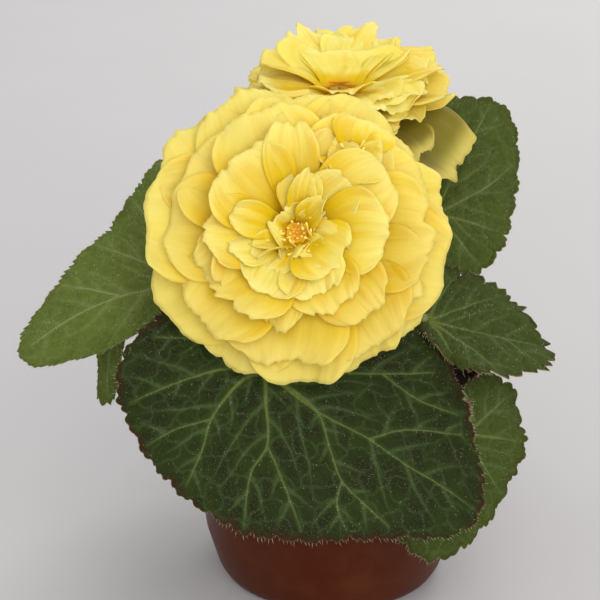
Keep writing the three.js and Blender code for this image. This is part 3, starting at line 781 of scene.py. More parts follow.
# %% Measures of the leaves
LEAVES = {
    "leaf_front": {
        "junction": [-25, -56.8, 108.6], "heading": -20.6, "fall": 26.7, "roll": 39.6,
        "spread": [86, 74, 56, 26, 25, 36, 42.5, 53, 53, 54.5, 60, 68.5],
        "point": 8, "curl": 0.0022, "arch": 0.003, "fold": 0,
        "stalk": [[0, -2, 97], [-8, -20, 104], [-18, -41, 108]],
        "grid": (440, 84), "youth": 0.1, "teeth": (1.7, 3.9, 1.7, "round"),
        "veins": [
            [[-4, 24], [1, 45], [1, 62], [2, 77], [2, 92]],
            [[1, 45], [12, 55], [18, 76]],
            [[-4, 24], [-17, 37], [-22, 49], [-20, 60], [-18, 72]],
            [[-22, 49], [-29, 56], [-30, 66]],
            [[-55, 12], [-55, 28], [-64, 38], [-64, 57]],
            [[-55, 28], [-49, 38], [-44, 60]],
            [[-126, 8], [-103, 27], [-94, 37], [-90, 51]],
            [[-103, 27], [-112, 40], [-113, 51]],
            [[34, 24], [35, 48], [36, 63]],
            [[34, 44], [25, 58], [23, 73]],
            [[-150, 14], [-138, 34], [-133, 50]],
            [[180, 12], [-172, 28], [-165, 42]],
            [[80, 10], [75, 24]],
            [[130, 12], [128, 28]],
        ],
    },
    "leaf_left": {
        "junction": [-52.1, -18.9, 132.1], "heading": -147.2, "fall": 10.9, "roll": -45.5,
        "spread": [61, 18, 20, 18, 22, 22, 20, 28, 62, 45, 38, 48],
        "point": 12, "curl": 0.005, "arch": 0.006, "fold": -0.12,
        "stalk": [[0, 0, 111], [-20, -3, 125], [-42, -12, 132]],
        "grid": (340, 50), "youth": 1.0, "teeth": (1.2, 2.6, 1.5, "sharp"),
        "veins": [
            [[-6, 15], [-9, 30], [-7, 47], [-3, 68]],
            [[-9, 30], [-18, 40], [-22, 50]],
            [[-40, 14], [-46, 28], [-48, 42]],
            [[-80, 14], [-84, 28], [-86, 40]],
            [[-118, 20], [-122, 38], [-121, 58]],
            [[-122, 38], [-114, 46], [-108, 50]],
            [[-160, 12], [-160, 24]],
            [[40, 10], [36, 17]],
            [[110, 8], [108, 18]],
        ],
    },
    "leaf_left_small": {
        "junction": [-81.1, -13.1, 111], "heading": -115, "fall": 60, "roll": 4,
        "spread": [24, 7.5, 8, 8, 7, 5, 3, 5, 8, 12, 13, 14],
        "point": 9, "curl": 0.004, "arch": 0, "fold": 0.4,
        "stalk": [[0, 1, 103], [-30, 4, 122], [-60, -6, 120]],
        "grid": (180, 24), "youth": 1.0, "teeth": (1.6, 2.8, 1.8, "sharp"),
        "veins": [[[-14, 8], [-6, 18], [0, 29]], [[-70, 5], [-72, 10]], [[60, 4], [58, 7]]],
    },
    "leaf_right_upper": {
        "junction": [40.7, 16, 144.8], "heading": 39, "fall": -46.8, "roll": 30.7,
        "spread": [52, 52, 46, 40, 30, 18, 14, 18, 28, 30, 30.5, 37.5],
        "point": 2, "curl": 0.004, "arch": 0.004, "fold": 0,
        "stalk": [[0, 0, 117], [14, 8, 132], [31, 15, 142]],
        "grid": (300, 46), "youth": 0.62, "teeth": (1.6, 3, 1.2, "round"),
        "veins": [
            [[5, 11], [6, 30], [6, 52]],
            [[-32, 12], [-29, 26], [-24, 38]],
            [[-71, 12], [-75, 24]],
            [[-104, 11], [-108, 24]],
            [[38, 14], [40, 30], [38, 46]],
            [[38, 24], [50, 36], [52, 44]],
            [[78, 12], [80, 28], [82, 38]],
            [[130, 8], [128, 20]],
        ],
    },
    "leaf_right": {
        "junction": [36.3, -31.7, 118.8], "heading": -21, "fall": 5.4, "roll": 25.8,
        "spread": [44, 36.5, 31, 31, 26, 16, 8, 6, 6, 7, 14, 34],
        "point": 5, "curl": 0.006, "arch": 0.004, "fold": 0,
        "stalk": [[0, 0, 107], [12, -10, 117], [27, -25, 120]],
        "grid": (300, 46), "youth": 0.42, "teeth": (2.4, 4.6, 2.8, "sharp"),
        "veins": [
            [[0, 13], [5, 33], [8, 46]],
            [[5, 28], [-2, 38], [-5, 45]],
            [[-23, 14], [-22, 25], [-24, 34]],
            [[-41, 10], [-44, 18]],
            [[45, 11], [46, 31]],
            [[90, 10], [86, 28]],
            [[130, 8], [128, 18]],
        ],
    },
    "leaf_right_lower": {
        "junction": [50.4, -45.1, 77.8], "heading": -113, "fall": 50, "roll": -38,
        "spread": [47, 34, 25, 25, 24.3, 27.5, 24, 11, 6, 12, 24, 44],
        "point": 2, "curl": 0.004, "arch": 0.004, "fold": 0,
        "stalk": [[1, -1, 93], [20, -17, 98], [45, -40.5, 95.5], [50.5, -45.5, 89.5]],
        "grid": (300, 46), "youth": 0.52, "teeth": (2, 4, 1.5, "round"),
        "veins": [
            [[2, 14], [4, 30], [2, 46]],
            [[-22, 14], [-24, 30], [-26, 40]],
            [[48, 14], [49, 26]],
            [[103, 12], [101, 22]],
            [[147, 10], [147, 22]],
            [[4, 22], [18, 32], [22, 36]],
            [[-60, 8], [-62, 18]],
        ],
    },
    "leaf_back_left": {
        "junction": [-30, 44, 112], "heading": 120, "fall": 32, "roll": 8,
        "spread": [58, 52, 46, 42, 36, 26, 14, 24, 34, 40, 44, 50],
        "point": 6, "curl": 0.006, "arch": 0.004, "fold": 0,
        "stalk": [[0, 1, 99], [-11, 18, 108], [-24, 36, 112]],
        "grid": (240, 36), "youth": 0.3, "teeth": (1.7, 3.8, 1.6, "round"),
        "veins": [
            [[-3, 14], [2, 32], [1, 60]], [[2, 32], [14, 42], [16, 54]],
            [[40, 14], [42, 28], [38, 46]], [[84, 12], [86, 26], [82, 40]],
            [[128, 10], [126, 28]], [[-38, 13], [-42, 28], [-38, 44]],
            [[-82, 12], [-84, 26], [-80, 36]], [[-126, 10], [-124, 28]],
        ],
    },
    "leaf_back_right": {
        "junction": [30, 46, 106], "heading": 66, "fall": 30, "roll": -8,
        "spread": [52, 46, 40, 38, 34, 24, 13, 25, 35, 40, 42, 46],
        "point": 6, "curl": 0.006, "arch": 0.004, "fold": 0,
        "stalk": [[1, 1, 95], [11, 19, 104], [24, 38, 107]],
        "grid": (240, 36), "youth": 0.4, "teeth": (1.7, 3.6, 1.5, "round"),
        "veins": [
            [[4, 14], [-2, 30], [0, 54]], [[-2, 30], [-14, 40], [-17, 48]],
            [[40, 14], [38, 26], [41, 40]], [[84, 12], [80, 24], [84, 34]],
            [[128, 10], [125, 26]], [[-42, 13], [-38, 28], [-42, 40]],
            [[-82, 12], [-86, 26], [-84, 38]], [[-126, 10], [-128, 28]],
        ],
    },
}
BLADE_THICKNESS = 0.5
LOBE_SPACING = 9.5
print("leaves:", len(LEAVES), "main veins:", sum(len(leaf["veins"]) for leaf in LEAVES.values()))

# %% [markdown]
# ## A blade's outline and bend
# The margin is a smooth closed line through the twelve distances, with a drawn-out point. Along it
# run wide, low lobes with small teeth on them, as on most begonias: rounded teeth on the broad old
# leaves, and sharp ones on the pointed young leaves. They are spaced by length along the margin and
# not by angle, since a real tooth doesn't grow with its distance from the stalk.

# %% A blade's outline and bend
POINT_HALF_WIDTH = math.radians(11)
NARROW = 20  # where the margin is nearer to the junction than this, its teeth shrink


def margin(leaf, angle):
    """Distance from the junction to the smooth margin at each angle."""
    spread = np.array(leaf["spread"], float)
    place_on = np.degrees(angle) / 30 % 12
    i = np.floor(place_on).astype(int)
    t = place_on - i
    a, b, c, d = (spread[(i + k) % 12] for k in (-1, 0, 1, 2))
    curve = b + 0.5 * t * (c - a + t * (2 * a - 5 * b + 4 * c - d + t * (3 * (b - c) + d - a)))
    from_tip = np.angle(np.exp(1j * angle)) / POINT_HALF_WIDTH
    return curve + leaf["point"] * np.exp(-(from_tip**2))


def even_angles(leaf, fraction):
    """The angles that part the margin into equal lengths, and the margin's whole length."""
    angles = np.linspace(-math.pi, math.pi, 2001)
    out = margin(leaf, angles)
    steps = np.hypot(np.diff(out * np.cos(angles)), np.diff(out * np.sin(angles)))
    travelled = np.concatenate([[0], np.cumsum(steps)])
    return np.interp(fraction * travelled[-1], travelled, angles), travelled[-1]


def teeth(leaf, fraction, length, phase):
    """How far the toothed margin stands out of the smooth one, in millimetres."""
    lobe_height, spacing, height, kind = leaf["teeth"]
    lobes, small = round(length / LOBE_SPACING), round(length / spacing)
    place_on = fraction * lobes + 0.3 * np.sin(2 * math.pi * (3 * fraction + phase))
    lobe = lobe_height * (np.abs(np.sin(math.pi * place_on)) ** 0.7 - 0.65)
    saw = (fraction * small + 0.4 * np.sin(2 * math.pi * 5 * fraction)) % 1
    if kind == "round":
        tooth = np.sin(math.pi * saw) ** 0.6
    else:
        tooth = np.minimum(saw / 0.7, (1 - saw) / 0.3)
    uneven = 0.8 + 0.45 * np.sin(2 * math.pi * 11 * fraction + phase)
    return lobe + uneven * height * (tooth - 0.5)


def flutter(length, fraction, phase):
    """The waves of the margin out of the blade's own bend, about one every 24 mm."""
    return 1.1 * np.sin(2 * math.pi * round(length / 24) * fraction + 7 * phase)


def bend(leaf, angle, reach, share, relief):
    """Points of the bent blade in its own frame, with a relief on its upper face."""
    x = reach * np.cos(angle)
    y = reach * np.sin(angle)
    wave = 0.02 * reach * share * np.sin(5 * angle + leaf["heading"])
    lift = leaf["fold"] * (np.hypot(y, 3) - 3) + wave + relief
    curl, arch = leaf["curl"], leaf["arch"]
    drop = (1 - np.cos(curl * x)) / curl
    if arch:
        drop = drop + (1 - np.cos(arch * y)) / arch
        y = np.sin(arch * y) / arch
    return np.column_stack([np.sin(curl * x) / curl, y, lift - drop])


def leaf_frame(leaf):
    """Takes a blade from its own frame to its place on the plant."""
    turn = [math.radians(leaf[key]) for key in ("roll", "fall", "heading")]
    return Matrix.Translation(leaf["junction"]) @ Euler(turn, "XYZ").to_matrix().to_4x4()


for name, leaf in LEAVES.items():
    print(name, "has a margin of", round(even_angles(leaf, 0)[1]), "mm")

# %% [markdown]
# ## Veins
# The main veins are drawn; side veins grow from them by a rule, as on the plant: they leave left and
# right in turn, bend towards the margin and stop where another vein is near. Between them lies a net
# of irregular cells, which is found from scattered cell centres: a point is on the net where its two
# nearest centres are equally far.
#
# Each point of the blade keeps its distance to all three. For the main veins it is counted in half
# widths of the vein, once with a sign that tells the side and once without. A line drawn where the
# signed one passes zero stays sharp however coarse the mesh is, and the other sinks the vein and
# lifts the tissue beside it. The distance to a side vein is counted larger towards the vein's end,
# so that the vein thins out there.

# %% Veins
SIDE_VEIN_STEP = 2.4
SIDE_VEIN_STEPS = 16
SIDE_VEIN_ANGLE = (52, 10)  # off the main vein, in degrees, and how much it varies
SIDE_VEIN_GAP = 3.2  # it stops this near to another vein
VEIN_END = 0.96  # and at this share of the way to the margin
FAR_OFF = 12.0  # millimetres from a vein at which nothing more is seen of it
NET_CELL = 8.5
NET_SCATTER = 0.42 * NET_CELL


def share_at(leaf, point):
    """How far a flat point is on its way from the junction to the margin."""
    return math.hypot(*point) / margin(leaf, np.array([math.atan2(point[1], point[0])]))[0]


def main_veins(leaf):
    """The drawn veins as smooth lines of flat points. One that forks off no other joins the stalk."""
    lines = []
    forks = [point for vein in leaf["veins"] for point in vein[1:]]
    for vein in leaf["veins"]:
        line = [(r * math.cos(math.radians(a)), r * math.sin(math.radians(a)), 0) for a, r in vein]
        if vein[0] not in forks and vein[0][1] < 25:
            line = [(0, 0, 0), *line]
        lines.append(list(through(line, 4 * len(line))[0][:, :2]))
    return lines


def side_veins(leaf, mains, draw):
    """Thin veins that branch off the main ones."""
    lines = []
    taken = np.array([p for line in mains for p in line])
    for line in mains:
        for k in range(2, len(line) - 1, 2):
            side = 1 if k % 4 else -1
            run = line[k + 1] - line[k]
            turned_off = SIDE_VEIN_ANGLE[0] + SIDE_VEIN_ANGLE[1] * draw()
            angle = math.atan2(run[1], run[0]) + side * math.radians(turned_off)
            twig = [line[k]]
            for _ in range(SIDE_VEIN_STEPS):
                away = math.atan2(twig[-1][1], twig[-1][0])
                angle += 0.09 * math.sin(away - angle) + 0.12 * draw()
                step = twig[-1] + SIDE_VEIN_STEP * np.array([math.cos(angle), math.sin(angle)])
                gap = np.hypot(*(taken - step).T).min()
                if share_at(leaf, step) > VEIN_END or (len(twig) > 2 and gap < SIDE_VEIN_GAP):
                    break
                twig.append(step)
            if len(twig) > 3:
                lines.append(twig)
                taken = np.concatenate([taken, twig[2:]])
    return lines


# %% Distances to the veins
def vein_facts(leaf, x, y, draw):
    """Distances of each point to the nearest main vein, with the side as its sign, and side vein."""
    main, side = (np.full(len(x), FAR_OFF) for _ in range(2))
    longest = max(leaf["spread"])
    mains = main_veins(leaf)
    for k, line in enumerate(mains + side_veins(leaf, mains, draw)):
        for a, b in zip(line, line[1:]):
            along = b - a
            t = np.clip(((x - a[0]) * along[0] + (y - a[1]) * along[1]) / (along @ along), 0, 1)
            dx, dy = x - a[0] - t * along[0], y - a[1] - t * along[1]
            off = np.hypot(dx, dy)
            if k < len(mains):
                out = np.hypot(*(a + 0.5 * along)) / longest
                off = off / (0.24 + 0.5 * math.exp(-4 * out))
                signed = np.copysign(off, along[0] * dy - along[1] * dx)
                main = np.where(off < abs(main), signed, main)
            else:
                done = np.hypot(*(a - line[0])) / np.hypot(*(line[-1] - line[0]))
                side = np.minimum(side, off * (0.8 + 0.6 * done) + 0.75 * done**2)
    return main, side


def net_distance(x, y, draw):
    """Distance of each point to the net of small veins, in millimetres."""
    low, high = (round(f(min(x.min(), y.min()), max(x.max(), y.max()))) for f in (min, max))
    ticks = np.arange(low - NET_CELL, high + NET_CELL, NET_CELL)
    centres = np.array([
        (a + NET_SCATTER * draw(), b + 0.5 * NET_CELL * (i % 2) + NET_SCATTER * draw())
        for i, a in enumerate(ticks)
        for b in ticks
    ])
    gaps = (x[:, None] - centres[None, :, 0]) ** 2 + (y[:, None] - centres[None, :, 1]) ** 2
    near = np.argpartition(gaps, 3, axis=1)[:, :4]
    square = np.take_along_axis(gaps, near, axis=1)
    order = np.argsort(square, axis=1)
    near, square = (np.take_along_axis(part, order, axis=1) for part in (near, square))
    first = centres[near[:, 0]]
    apart = [np.hypot(*(centres[near[:, k]] - first).T) for k in (1, 2, 3)]
    return np.min([(square[:, k] - square[:, 0]) / (2 * apart[k - 1]) for k in (1, 2, 3)], axis=0)


# %% [markdown]
# ## One leaf
# A grid is rolled into a fan: its long side runs round the margin and its short side from the
# junction outwards. The tissue swells between the veins, the veins lie sunken, and the margin
# flutters. The seam and the junction are merged, Solidify gives the blade its thickness with the
# paler skin underneath, and the stalk is a limb that runs into the junction. Hairs stand on the
# margin and on the stalk, and a fine short down lies over the upper face.

# %% One leaf's blade
# heights in millimetres: swellings between main veins, side veins and the net, and sunken veins
SWELLING = {"main": 0.4, "side": 0.2, "net": 0.26}
SUNKEN = {"main": 0.28, "side": 0.12}
PUCKER = 0.16


def blade(name, leaf, phase):
    """A blade in its own frame, one skin thick, with the facts that its material needs."""
    around, outwards = leaf["grid"]
    piece, u, v = grid(name, around, outwards)
    fraction = (1 - u) / 2
    angle, length = even_angles(leaf, fraction)
    smooth_margin = margin(leaf, angle)
    share = v**0.92
    edge = smooth(share, 0.78, 1)
    fine = teeth(leaf, fraction, length, phase)
    reach = smooth_margin * share + fine * edge * np.minimum(1, smooth_margin / NARROW)
    x, y = reach * np.cos(angle), reach * np.sin(angle)
    draw = draws(int(1000 * phase) + 7)
    main, side = vein_facts(leaf, x, y, draw)
    off = np.abs(main)
    net = net_distance(x + 0.8 * np.sin(0.9 * y), y + 0.8 * np.sin(0.8 * x), draw)
    swelling = SWELLING["main"] * smooth(off, 0.8, 9) + SWELLING["side"] * smooth(side, 0.2, 2.4)
    swelling = swelling + SWELLING["net"] * smooth(net, 0, 2.6)
    sunken = SUNKEN["main"] * np.exp(-((off / 1.6) ** 2))
    sunken = sunken + SUNKEN["side"] * np.exp(-((side / 0.5) ** 2))
    pucker = PUCKER * np.sin(1.9 * x + 0.7 * y) * np.sin(1.6 * y - 0.8 * x) * smooth(off, 1, 5)
    relief = (swelling * (1 - 0.5 * edge) - sunken + pucker) * smooth(reach, 1, 6)
    relief = relief + share**5 * flutter(length, fraction, phase)
    set_points(piece, bend(leaf, angle, reach, share, relief))
    add_map(piece, "blade", x, y)
    add_fact(piece, "main_vein", main)
    add_fact(piece, "main_off", off)
    add_fact(piece, "reach", reach / max(leaf["spread"]))
    add_fact(piece, "side_vein", side)
    add_fact(piece, "net_off", net)
    add_fact(piece, "rim", smooth_margin + fine - reach)
    add_fact(piece, "youth", np.full(len(u), leaf["youth"]))
    in_edit_mode(piece, merge_seam)
    return piece, length


# %% One leaf with its hairs and stalk
# a hair's length in millimetres and how many times as stout as the model it is
MARGIN_HAIR = (1.8, 1.5)
DOWN_HAIR = (1.2, 1.2)
MARGIN_HAIR_SPACING = 1.3
DOWN_PER_MM2 = 0.11
STALK_RADII = [3, 2.6, 2.3, 2.1, 1.8]
STALK_HAIRS = 420


def margin_hairs(name, leaf, phase, seed):
    """Fine hairs that stand out of the margin."""
    count = int(even_angles(leaf, 0)[1] / MARGIN_HAIR_SPACING)
    fraction = np.linspace(0, 1, count)[:-1]
    angle, length = even_angles(leaf, fraction)
    out = margin(leaf, angle)
    reach = out + teeth(leaf, fraction, length, phase) * np.minimum(1, out / NARROW)
    waves, whole = flutter(length, fraction, phase), np.ones(len(angle))
    foot = bend(leaf, angle, reach - 0.2, whole, waves)
    tip = bend(leaf, angle, reach + 1, whole, waves)
    spots = [[Vector(a), Vector(b - a)] for a, b in zip(foot, tip)]
    return hairs_on(name, spots, seed, *MARGIN_HAIR)


def grow_leaf(name, leaf, looks, seed):
    """A whole leaf; its seed gives its chances, and its phase shifts its waves."""
    phase = 0.1 * seed
    piece, length = blade(name, leaf, phase)
    upper, under, stalk_look, hair = looks
    # a blade's area is about a third of its margin times its reach
    count = int(DOWN_PER_MM2 * length * max(leaf["spread"]) / 3)
    down = hairs_on(name + "_down", spots_on(piece, count, seed), seed, *DOWN_HAIR)
    down.data.materials.append(hair)
    for look in (upper, under):
        piece.data.materials.append(look)
    apply_modifier(
        piece, "SOLIDIFY", thickness=BLADE_THICKNESS * MM, offset=0, material_offset=1
    )
    fringe = margin_hairs(name + "_fringe", leaf, phase, seed)
    fringe.data.materials.append(hair)
    for part in (piece, fringe, down):
        place(part, leaf_frame(leaf))
    line = [*leaf["stalk"], leaf["junction"]]
    stalk = limb(name + "_stalk", line, STALK_RADII, 40, 16)
    stalk.data.materials.append(stalk_look)
    spots = spots_on(stalk, STALK_HAIRS, seed + 50)
    stalk_hairs = hairs_on(name + "_hairs", spots, seed, 1.7)
    stalk_hairs.data.materials.append(hair)
    return join(name + "_blade", [piece, fringe, down, stalk, stalk_hairs])


# %% [markdown]
# ## Leaf skin
# The upper skin is matt and deep green, darkest between the veins, where old leaves turn purplish
# brown. Along each vein runs a lighter green, and the vein itself is pale yellow-green, golden near
# the stalk. The net of small veins has cells of about 8 mm, with cells of 3 and of 1 mm inside them.
# An old leaf has a narrow brown band along its margin; a young leaf is light all over, with paler
# veins and a pale rim. Light passes through a thin blade, which the Translucent shader adds to the
# reflected light. The underside is paler, with raised veins.

# %% Nets and tones
def net(tree, where, cell, wide):
    """Lines between irregular cells of a size in millimetres: 1 on a line and 0 inside a cell."""
    to_edge = {"feature": "DISTANCE_TO_EDGE", "voronoi_dimensions": "2D"}
    off = node(tree, "TexVoronoi", to_edge, "Distance", Vector=where, Scale=1 / cell)
    return node(tree, "MapRange", SMOOTHLY, Value=off, From_Max=wide / cell, **FADES)


def young_or_old(tree, youth, tones):
    """The vein colours: on a young leaf the tissue beside a vein is as light as the rest."""
    young = node(tree, "MapRange", SMOOTHLY, Value=youth, From_Min=0.25)
    fresh_tones = {"halo": "#67773d", "thin": "#788752", "line": "#949d6c"}
    return [
        node(tree, "Mix", IN_COLOUR, 2, i0=young, i6=tones[key], i7=fresh)
        for key, fresh in fresh_tones.items()
    ]


# %% Where the veins are
def vein_shares(tree, where, main_vein, main_off, side_off, net_off, rim):
    """How far each kind of vein shows at a point, from the widest to the finest."""
    line = node(tree, "Math", UNSIGNED, i0=main_vein)
    line = node(tree, "MapRange", SMOOTHLY, Value=line, From_Min=0.3, From_Max=2.1, **FADES)
    near = node(tree, "MapRange", SMOOTHLY, Value=main_off, From_Min=2.2, From_Max=3.4, **FADES)
    inside = node(tree, "MapRange", SMOOTHLY, Value=rim, From_Min=1, From_Max=16, To_Min=0.25)
    for share in (near, inside):
        line = node(tree, "Math", TIMES, i0=line, i1=share)
    halo = node(tree, "MapRange", SMOOTHLY, Value=main_off, From_Min=0.8, From_Max=7, **FADES)
    twig = node(tree, "MapRange", SMOOTHLY, Value=side_off, From_Min=0.1, From_Max=1.1, **FADES)
    twig_halo = node(
        tree, "MapRange", SMOOTHLY, Value=side_off, From_Min=0.3, From_Max=2.4, **FADES
    )
    wide = node(tree, "MapRange", SMOOTHLY, Value=net_off, From_Min=0.05, From_Max=0.9, **FADES)
    wander = node(tree, "TexNoise", output="Color", Vector=where, Scale=0.3, Detail=2)
    bent = node(tree, "VectorMath", TIMES_PLUS, i0=wander, i1=(1.6, 1.6, 0), i2=where)
    return {
        "line": line, "halo": halo, "twig": twig, "twig_halo": twig_halo, "wide": wide,
        "coarse": net(tree, bent, 3.2, 0.4), "fine": net(tree, bent, 1.2, 0.3),
    }


# each kind of vein, how strongly it shows, and which tone it has
VEIN_COATS = [
    ["halo", 0.6, "halo"], ["twig_halo", 0.3, "halo"], ["fine", 0.15, "halo"],
    ["coarse", 0.25, "halo"], ["wide", 0.22, "thin"], ["twig", 0.42, "thin"], ["line", 0.54, "line"],
]
print("kinds of veins in the leaf skin:", len(VEIN_COATS))


# %% Leaf skin, above and below
def leaf_skin(name, tones, under=False):
    """The tones are the tissue's, old, young and browned, and those of veins and what is by them."""
    material, tree, surface_of = new_material(name)
    where = node(tree, "UVMap", {"uv_map": "blade"})
    youth, rim, reach, *off_veins = (
        node(tree, "Attribute", {"attribute_name": key}, "Fac")
        for key in ("youth", "rim", "reach", "main_vein", "main_off", "side_vein", "net_off")
    )
    veins = vein_shares(tree, where, *off_veins, rim)

    # the tissue between the veins
    clouds = node(tree, "TexNoise", Vector=where, Scale=0.5 / 9, Detail=4, Roughness=0.55)
    cloudy = node(tree, "MapRange", SMOOTHLY, Value=clouds, From_Min=0.35, From_Max=0.65)
    old = node(tree, "MapRange", SMOOTHLY, Value=youth, From_Max=0.6, To_Min=0.85, To_Max=0.1)
    browned = node(tree, "Math", TIMES, i0=cloudy, i1=old)
    mottle = node(tree, "TexNoise", Vector=where, Scale=0.5 / 2.2, Detail=4, Roughness=0.7)
    mottle = node(tree, "MapRange", SMOOTHLY, Value=mottle, From_Min=0.35, From_Max=0.7)
    mottle = node(tree, "Math", TIMES, i0=mottle, i1=0.6)
    mottled = node(tree, "Mix", IN_COLOUR, 2, i0=youth, i6="#171c0e", i7="#4a5824")
    colour = node(tree, "Mix", IN_COLOUR, 2, i0=youth, i6=tones["old"], i7=tones["young"])
    for share, tone in ((browned, tones["brown"]), (mottle, mottled)):
        colour = node(tree, "Mix", IN_COLOUR, 2, i0=share, i6=colour, i7=tone)

    # the veins over it, golden near the stalk
    halo, thin, line = young_or_old(tree, youth, tones)
    off_stalk = node(tree, "MapRange", SMOOTHLY, Value=reach, From_Min=0.05, From_Max=0.4)
    golden = node(tree, "Mix", IN_COLOUR, 2, i0=off_stalk, i6="#7f8c46", i7=line)
    vein_tones = {"halo": halo, "thin": thin, "line": golden}
    for vein, strength, tone in VEIN_COATS:
        share = node(tree, "Math", TIMES, i0=veins[vein], i1=strength)
        colour = node(tree, "Mix", IN_COLOUR, 2, i0=share, i6=colour, i7=vein_tones[tone])

    # pale specks, where hairs have their feet
    flat = {"voronoi_dimensions": "2D"}
    specks = node(tree, "TexVoronoi", flat, "Distance", Vector=where, Scale=0.8)
    specks = node(tree, "MapRange", SMOOTHLY, Value=specks, From_Min=0.06, From_Max=0.16, **FADES)
    hairy = node(tree, "MapRange", SMOOTHLY, Value=clouds, From_Min=0.45, From_Max=0.6)
    specks = node(tree, "Math", TIMES, i0=specks, i1=hairy)
    seen = node(tree, "Math", TIMES, i0=specks, i1=0.0 if under else 0.3)

    # the brown band and the pale rim
    band = node(tree, "Math", TIMES_PLUS, i0=clouds, i1=-8, i2=rim)
    band = node(tree, "MapRange", SMOOTHLY, Value=band, From_Min=-4, From_Max=-1, **FADES)
    aged = node(tree, "MapRange", SMOOTHLY, Value=youth, From_Max=0.8, To_Min=0.85, To_Max=0.12)
    band = node(tree, "Math", TIMES, i0=band, i1=aged)
    pale = node(tree, "MapRange", SMOOTHLY, Value=rim, From_Min=0.05, From_Max=0.4, **FADES)
    fresh = node(tree, "MapRange", SMOOTHLY, Value=youth, From_Max=0.6, To_Min=0.2, To_Max=0.65)
    pale = node(tree, "Math", TIMES, i0=pale, i1=fresh)
    for share, tone in ((seen, "#8f9478"), (band, "#3a2416"), (pale, "#9a9460")):
        colour = node(tree, "Mix", IN_COLOUR, 2, i0=share, i6=colour, i7=tone)

    # veins are sunk above and raised below
    coarse, fine = (0.3 * MM, 0.15 * MM) if under else (-0.25 * MM, -0.12 * MM)
    relief = node(tree, "Bump", Height=veins["coarse"], Distance=coarse, Strength=0.7)
    relief = node(tree, "Bump", Height=veins["fine"], Distance=fine, Strength=0.6, Normal=relief)
    relief = node(tree, "Bump", Height=specks, Distance=0.15 * MM, Strength=0.5, Normal=relief)
    skin = node(
        tree, "BsdfPrincipled", Base_Color=colour, Roughness=0.6, Normal=relief,
        Specular_IOR_Level=0.06,
    )
    tree.links.new(see_through(tree, 0.16, skin, colour, relief), surface_of)
    return material


UPPER_TONES = {
    "old": "#212e12", "young": "#627130", "brown": "#221f14",
    "halo": "#3a4b20", "line": "#6f7e4a", "thin": "#566a42",
}
UNDER_TONES = {
    "old": "#5c6b3a", "young": "#76873f", "brown": "#6b6545",
    "halo": "#7d8d48", "line": "#a1a368", "thin": "#8b965a",
}
upper_skin = leaf_skin("hairy_leaf_skin", UPPER_TONES)
under_skin = leaf_skin("leaf_underside", UNDER_TONES, under=True)

# %% The leaves grow
leaf_looks = (upper_skin, under_skin, stalk_look, hair_look)
for seed, (name, leaf) in enumerate(LEAVES.items(), 1):
    hand_over(grow_leaf(name, leaf, leaf_looks, seed), "leaf_green", name)

# %% [markdown]
# # The blooms
# A double begonia's bloom is a dense whorl of petals on a swollen stalk end. The guard petals at the
# back lie widest open and are the palest; the petals round the throat stand up, small and golden. A
# petal here is [azimuth in degrees, reach from the axis, width, layer], as in its solid, and the
# layers run from 1 at the back to 6 at the throat, with 0 for a petal that hangs down behind. Each
# layer gives the height of the root, the radius there, and the petal's angles at root and tip in
# degrees; a petal that stands otherwise ends with two angles of its own.
#
# The small petals are finer than the solids, which have none of them. The front bloom has a second
# throat beside the first, with a little whorl of its own, as very full blooms do.

# %% Measures of the blooms
LAYERS = np.array([
    [-13, 6, 78, 150],
    [-13, 6, 70, 104],
    [-9, 6, 60, 98],
    [-5.5, 5.5, 47, 95],
    [-2.5, 5, 34, 90],
    [-0.5, 4.5, 20, 78],
    [0, 4, 6, 60],
])
FRONT_PETALS = [
    # guard petals, from the left round by the bottom
    [172, 55, 46, 1.3], [208, 56, 44, 1], [243, 54, 38, 1.1], [272, 54.5, 40, 1.4],
    [302, 53, 38, 1.1], [322, 54, 32, 1], [345, 55.5, 44, 1.2], [12, 54, 36, 1],
    [37, 50.5, 34, 1.3], [62, 53.5, 36, 1.1], [90, 50, 40, 1.4], [115, 55, 40, 1.1],
    [141, 56, 42, 1],
    # second round
    [177, 47, 38, 2], [222, 47, 38, 2.2], [262, 47.5, 46, 2], [305, 49.5, 46, 1.7],
    [336, 48, 34, 1.8], [0, 48, 42, 2.1], [25, 49, 36, 1.8], [54, 45, 34, 2.2],
    [82, 43, 34, 1.9], [108, 46, 40, 2.2], [143, 46, 38, 1.9],
    # third round
    [133, 34, 34, 3.5], [180, 32, 26, 3.7], [204, 37, 28, 2.9], [228, 34, 32, 3.3],
    [259, 35.5, 16, 3.1], [297, 31, 26, 3.6], [313, 39.5, 28, 2.9], [0, 32, 30, 3.8],
    [33, 38.5, 30, 3.2], [66, 38, 24, 2.9], [94, 39, 20, 3.3],
    # petals round the throat
    [165, 24, 13, 4.4], [212, 17, 12, 5], [318, 19, 25, 4.6], [50, 15, 10, 5.4], [79, 22, 12, 4.6],
]
REAR_PETALS = [
    # petals that hang over the front bloom's back, on the right
    [-18, 46, 46, 0], [-50, 41, 34, 0.6],
    # guard petals, from the front round by the left
    [-92, 40, 42, 1.1], [-128, 40, 36, 1.4], [-160, 42, 34, 1.1], [168, 41, 36, 1.4],
    [132, 40, 40, 1.1], [95, 40, 38, 1.4], [58, 41, 38, 1.1], [20, 45, 36, 1.4],
    # second round
    [-78, 36, 38, 2], [-118, 35, 34, 2.3], [160, 37, 30, 2.3], [28, 40, 28, 2],
    [-8, 41, 28, 2.3], [-44, 37, 28, 2.1],
    # upright petals at the back and petals round the throat
    [94, 19, 40, 4.8], [124, 28, 24, 4.3], [62, 29, 26, 4.2], [34, 29, 20, 3.9],
    [170, 32, 28, 3.8], [10, 39, 26, 3.2], [-66, 27, 32, 3.3], [-128, 27, 32, 3.3],
    [-88, 16, 26, 4.3],
]
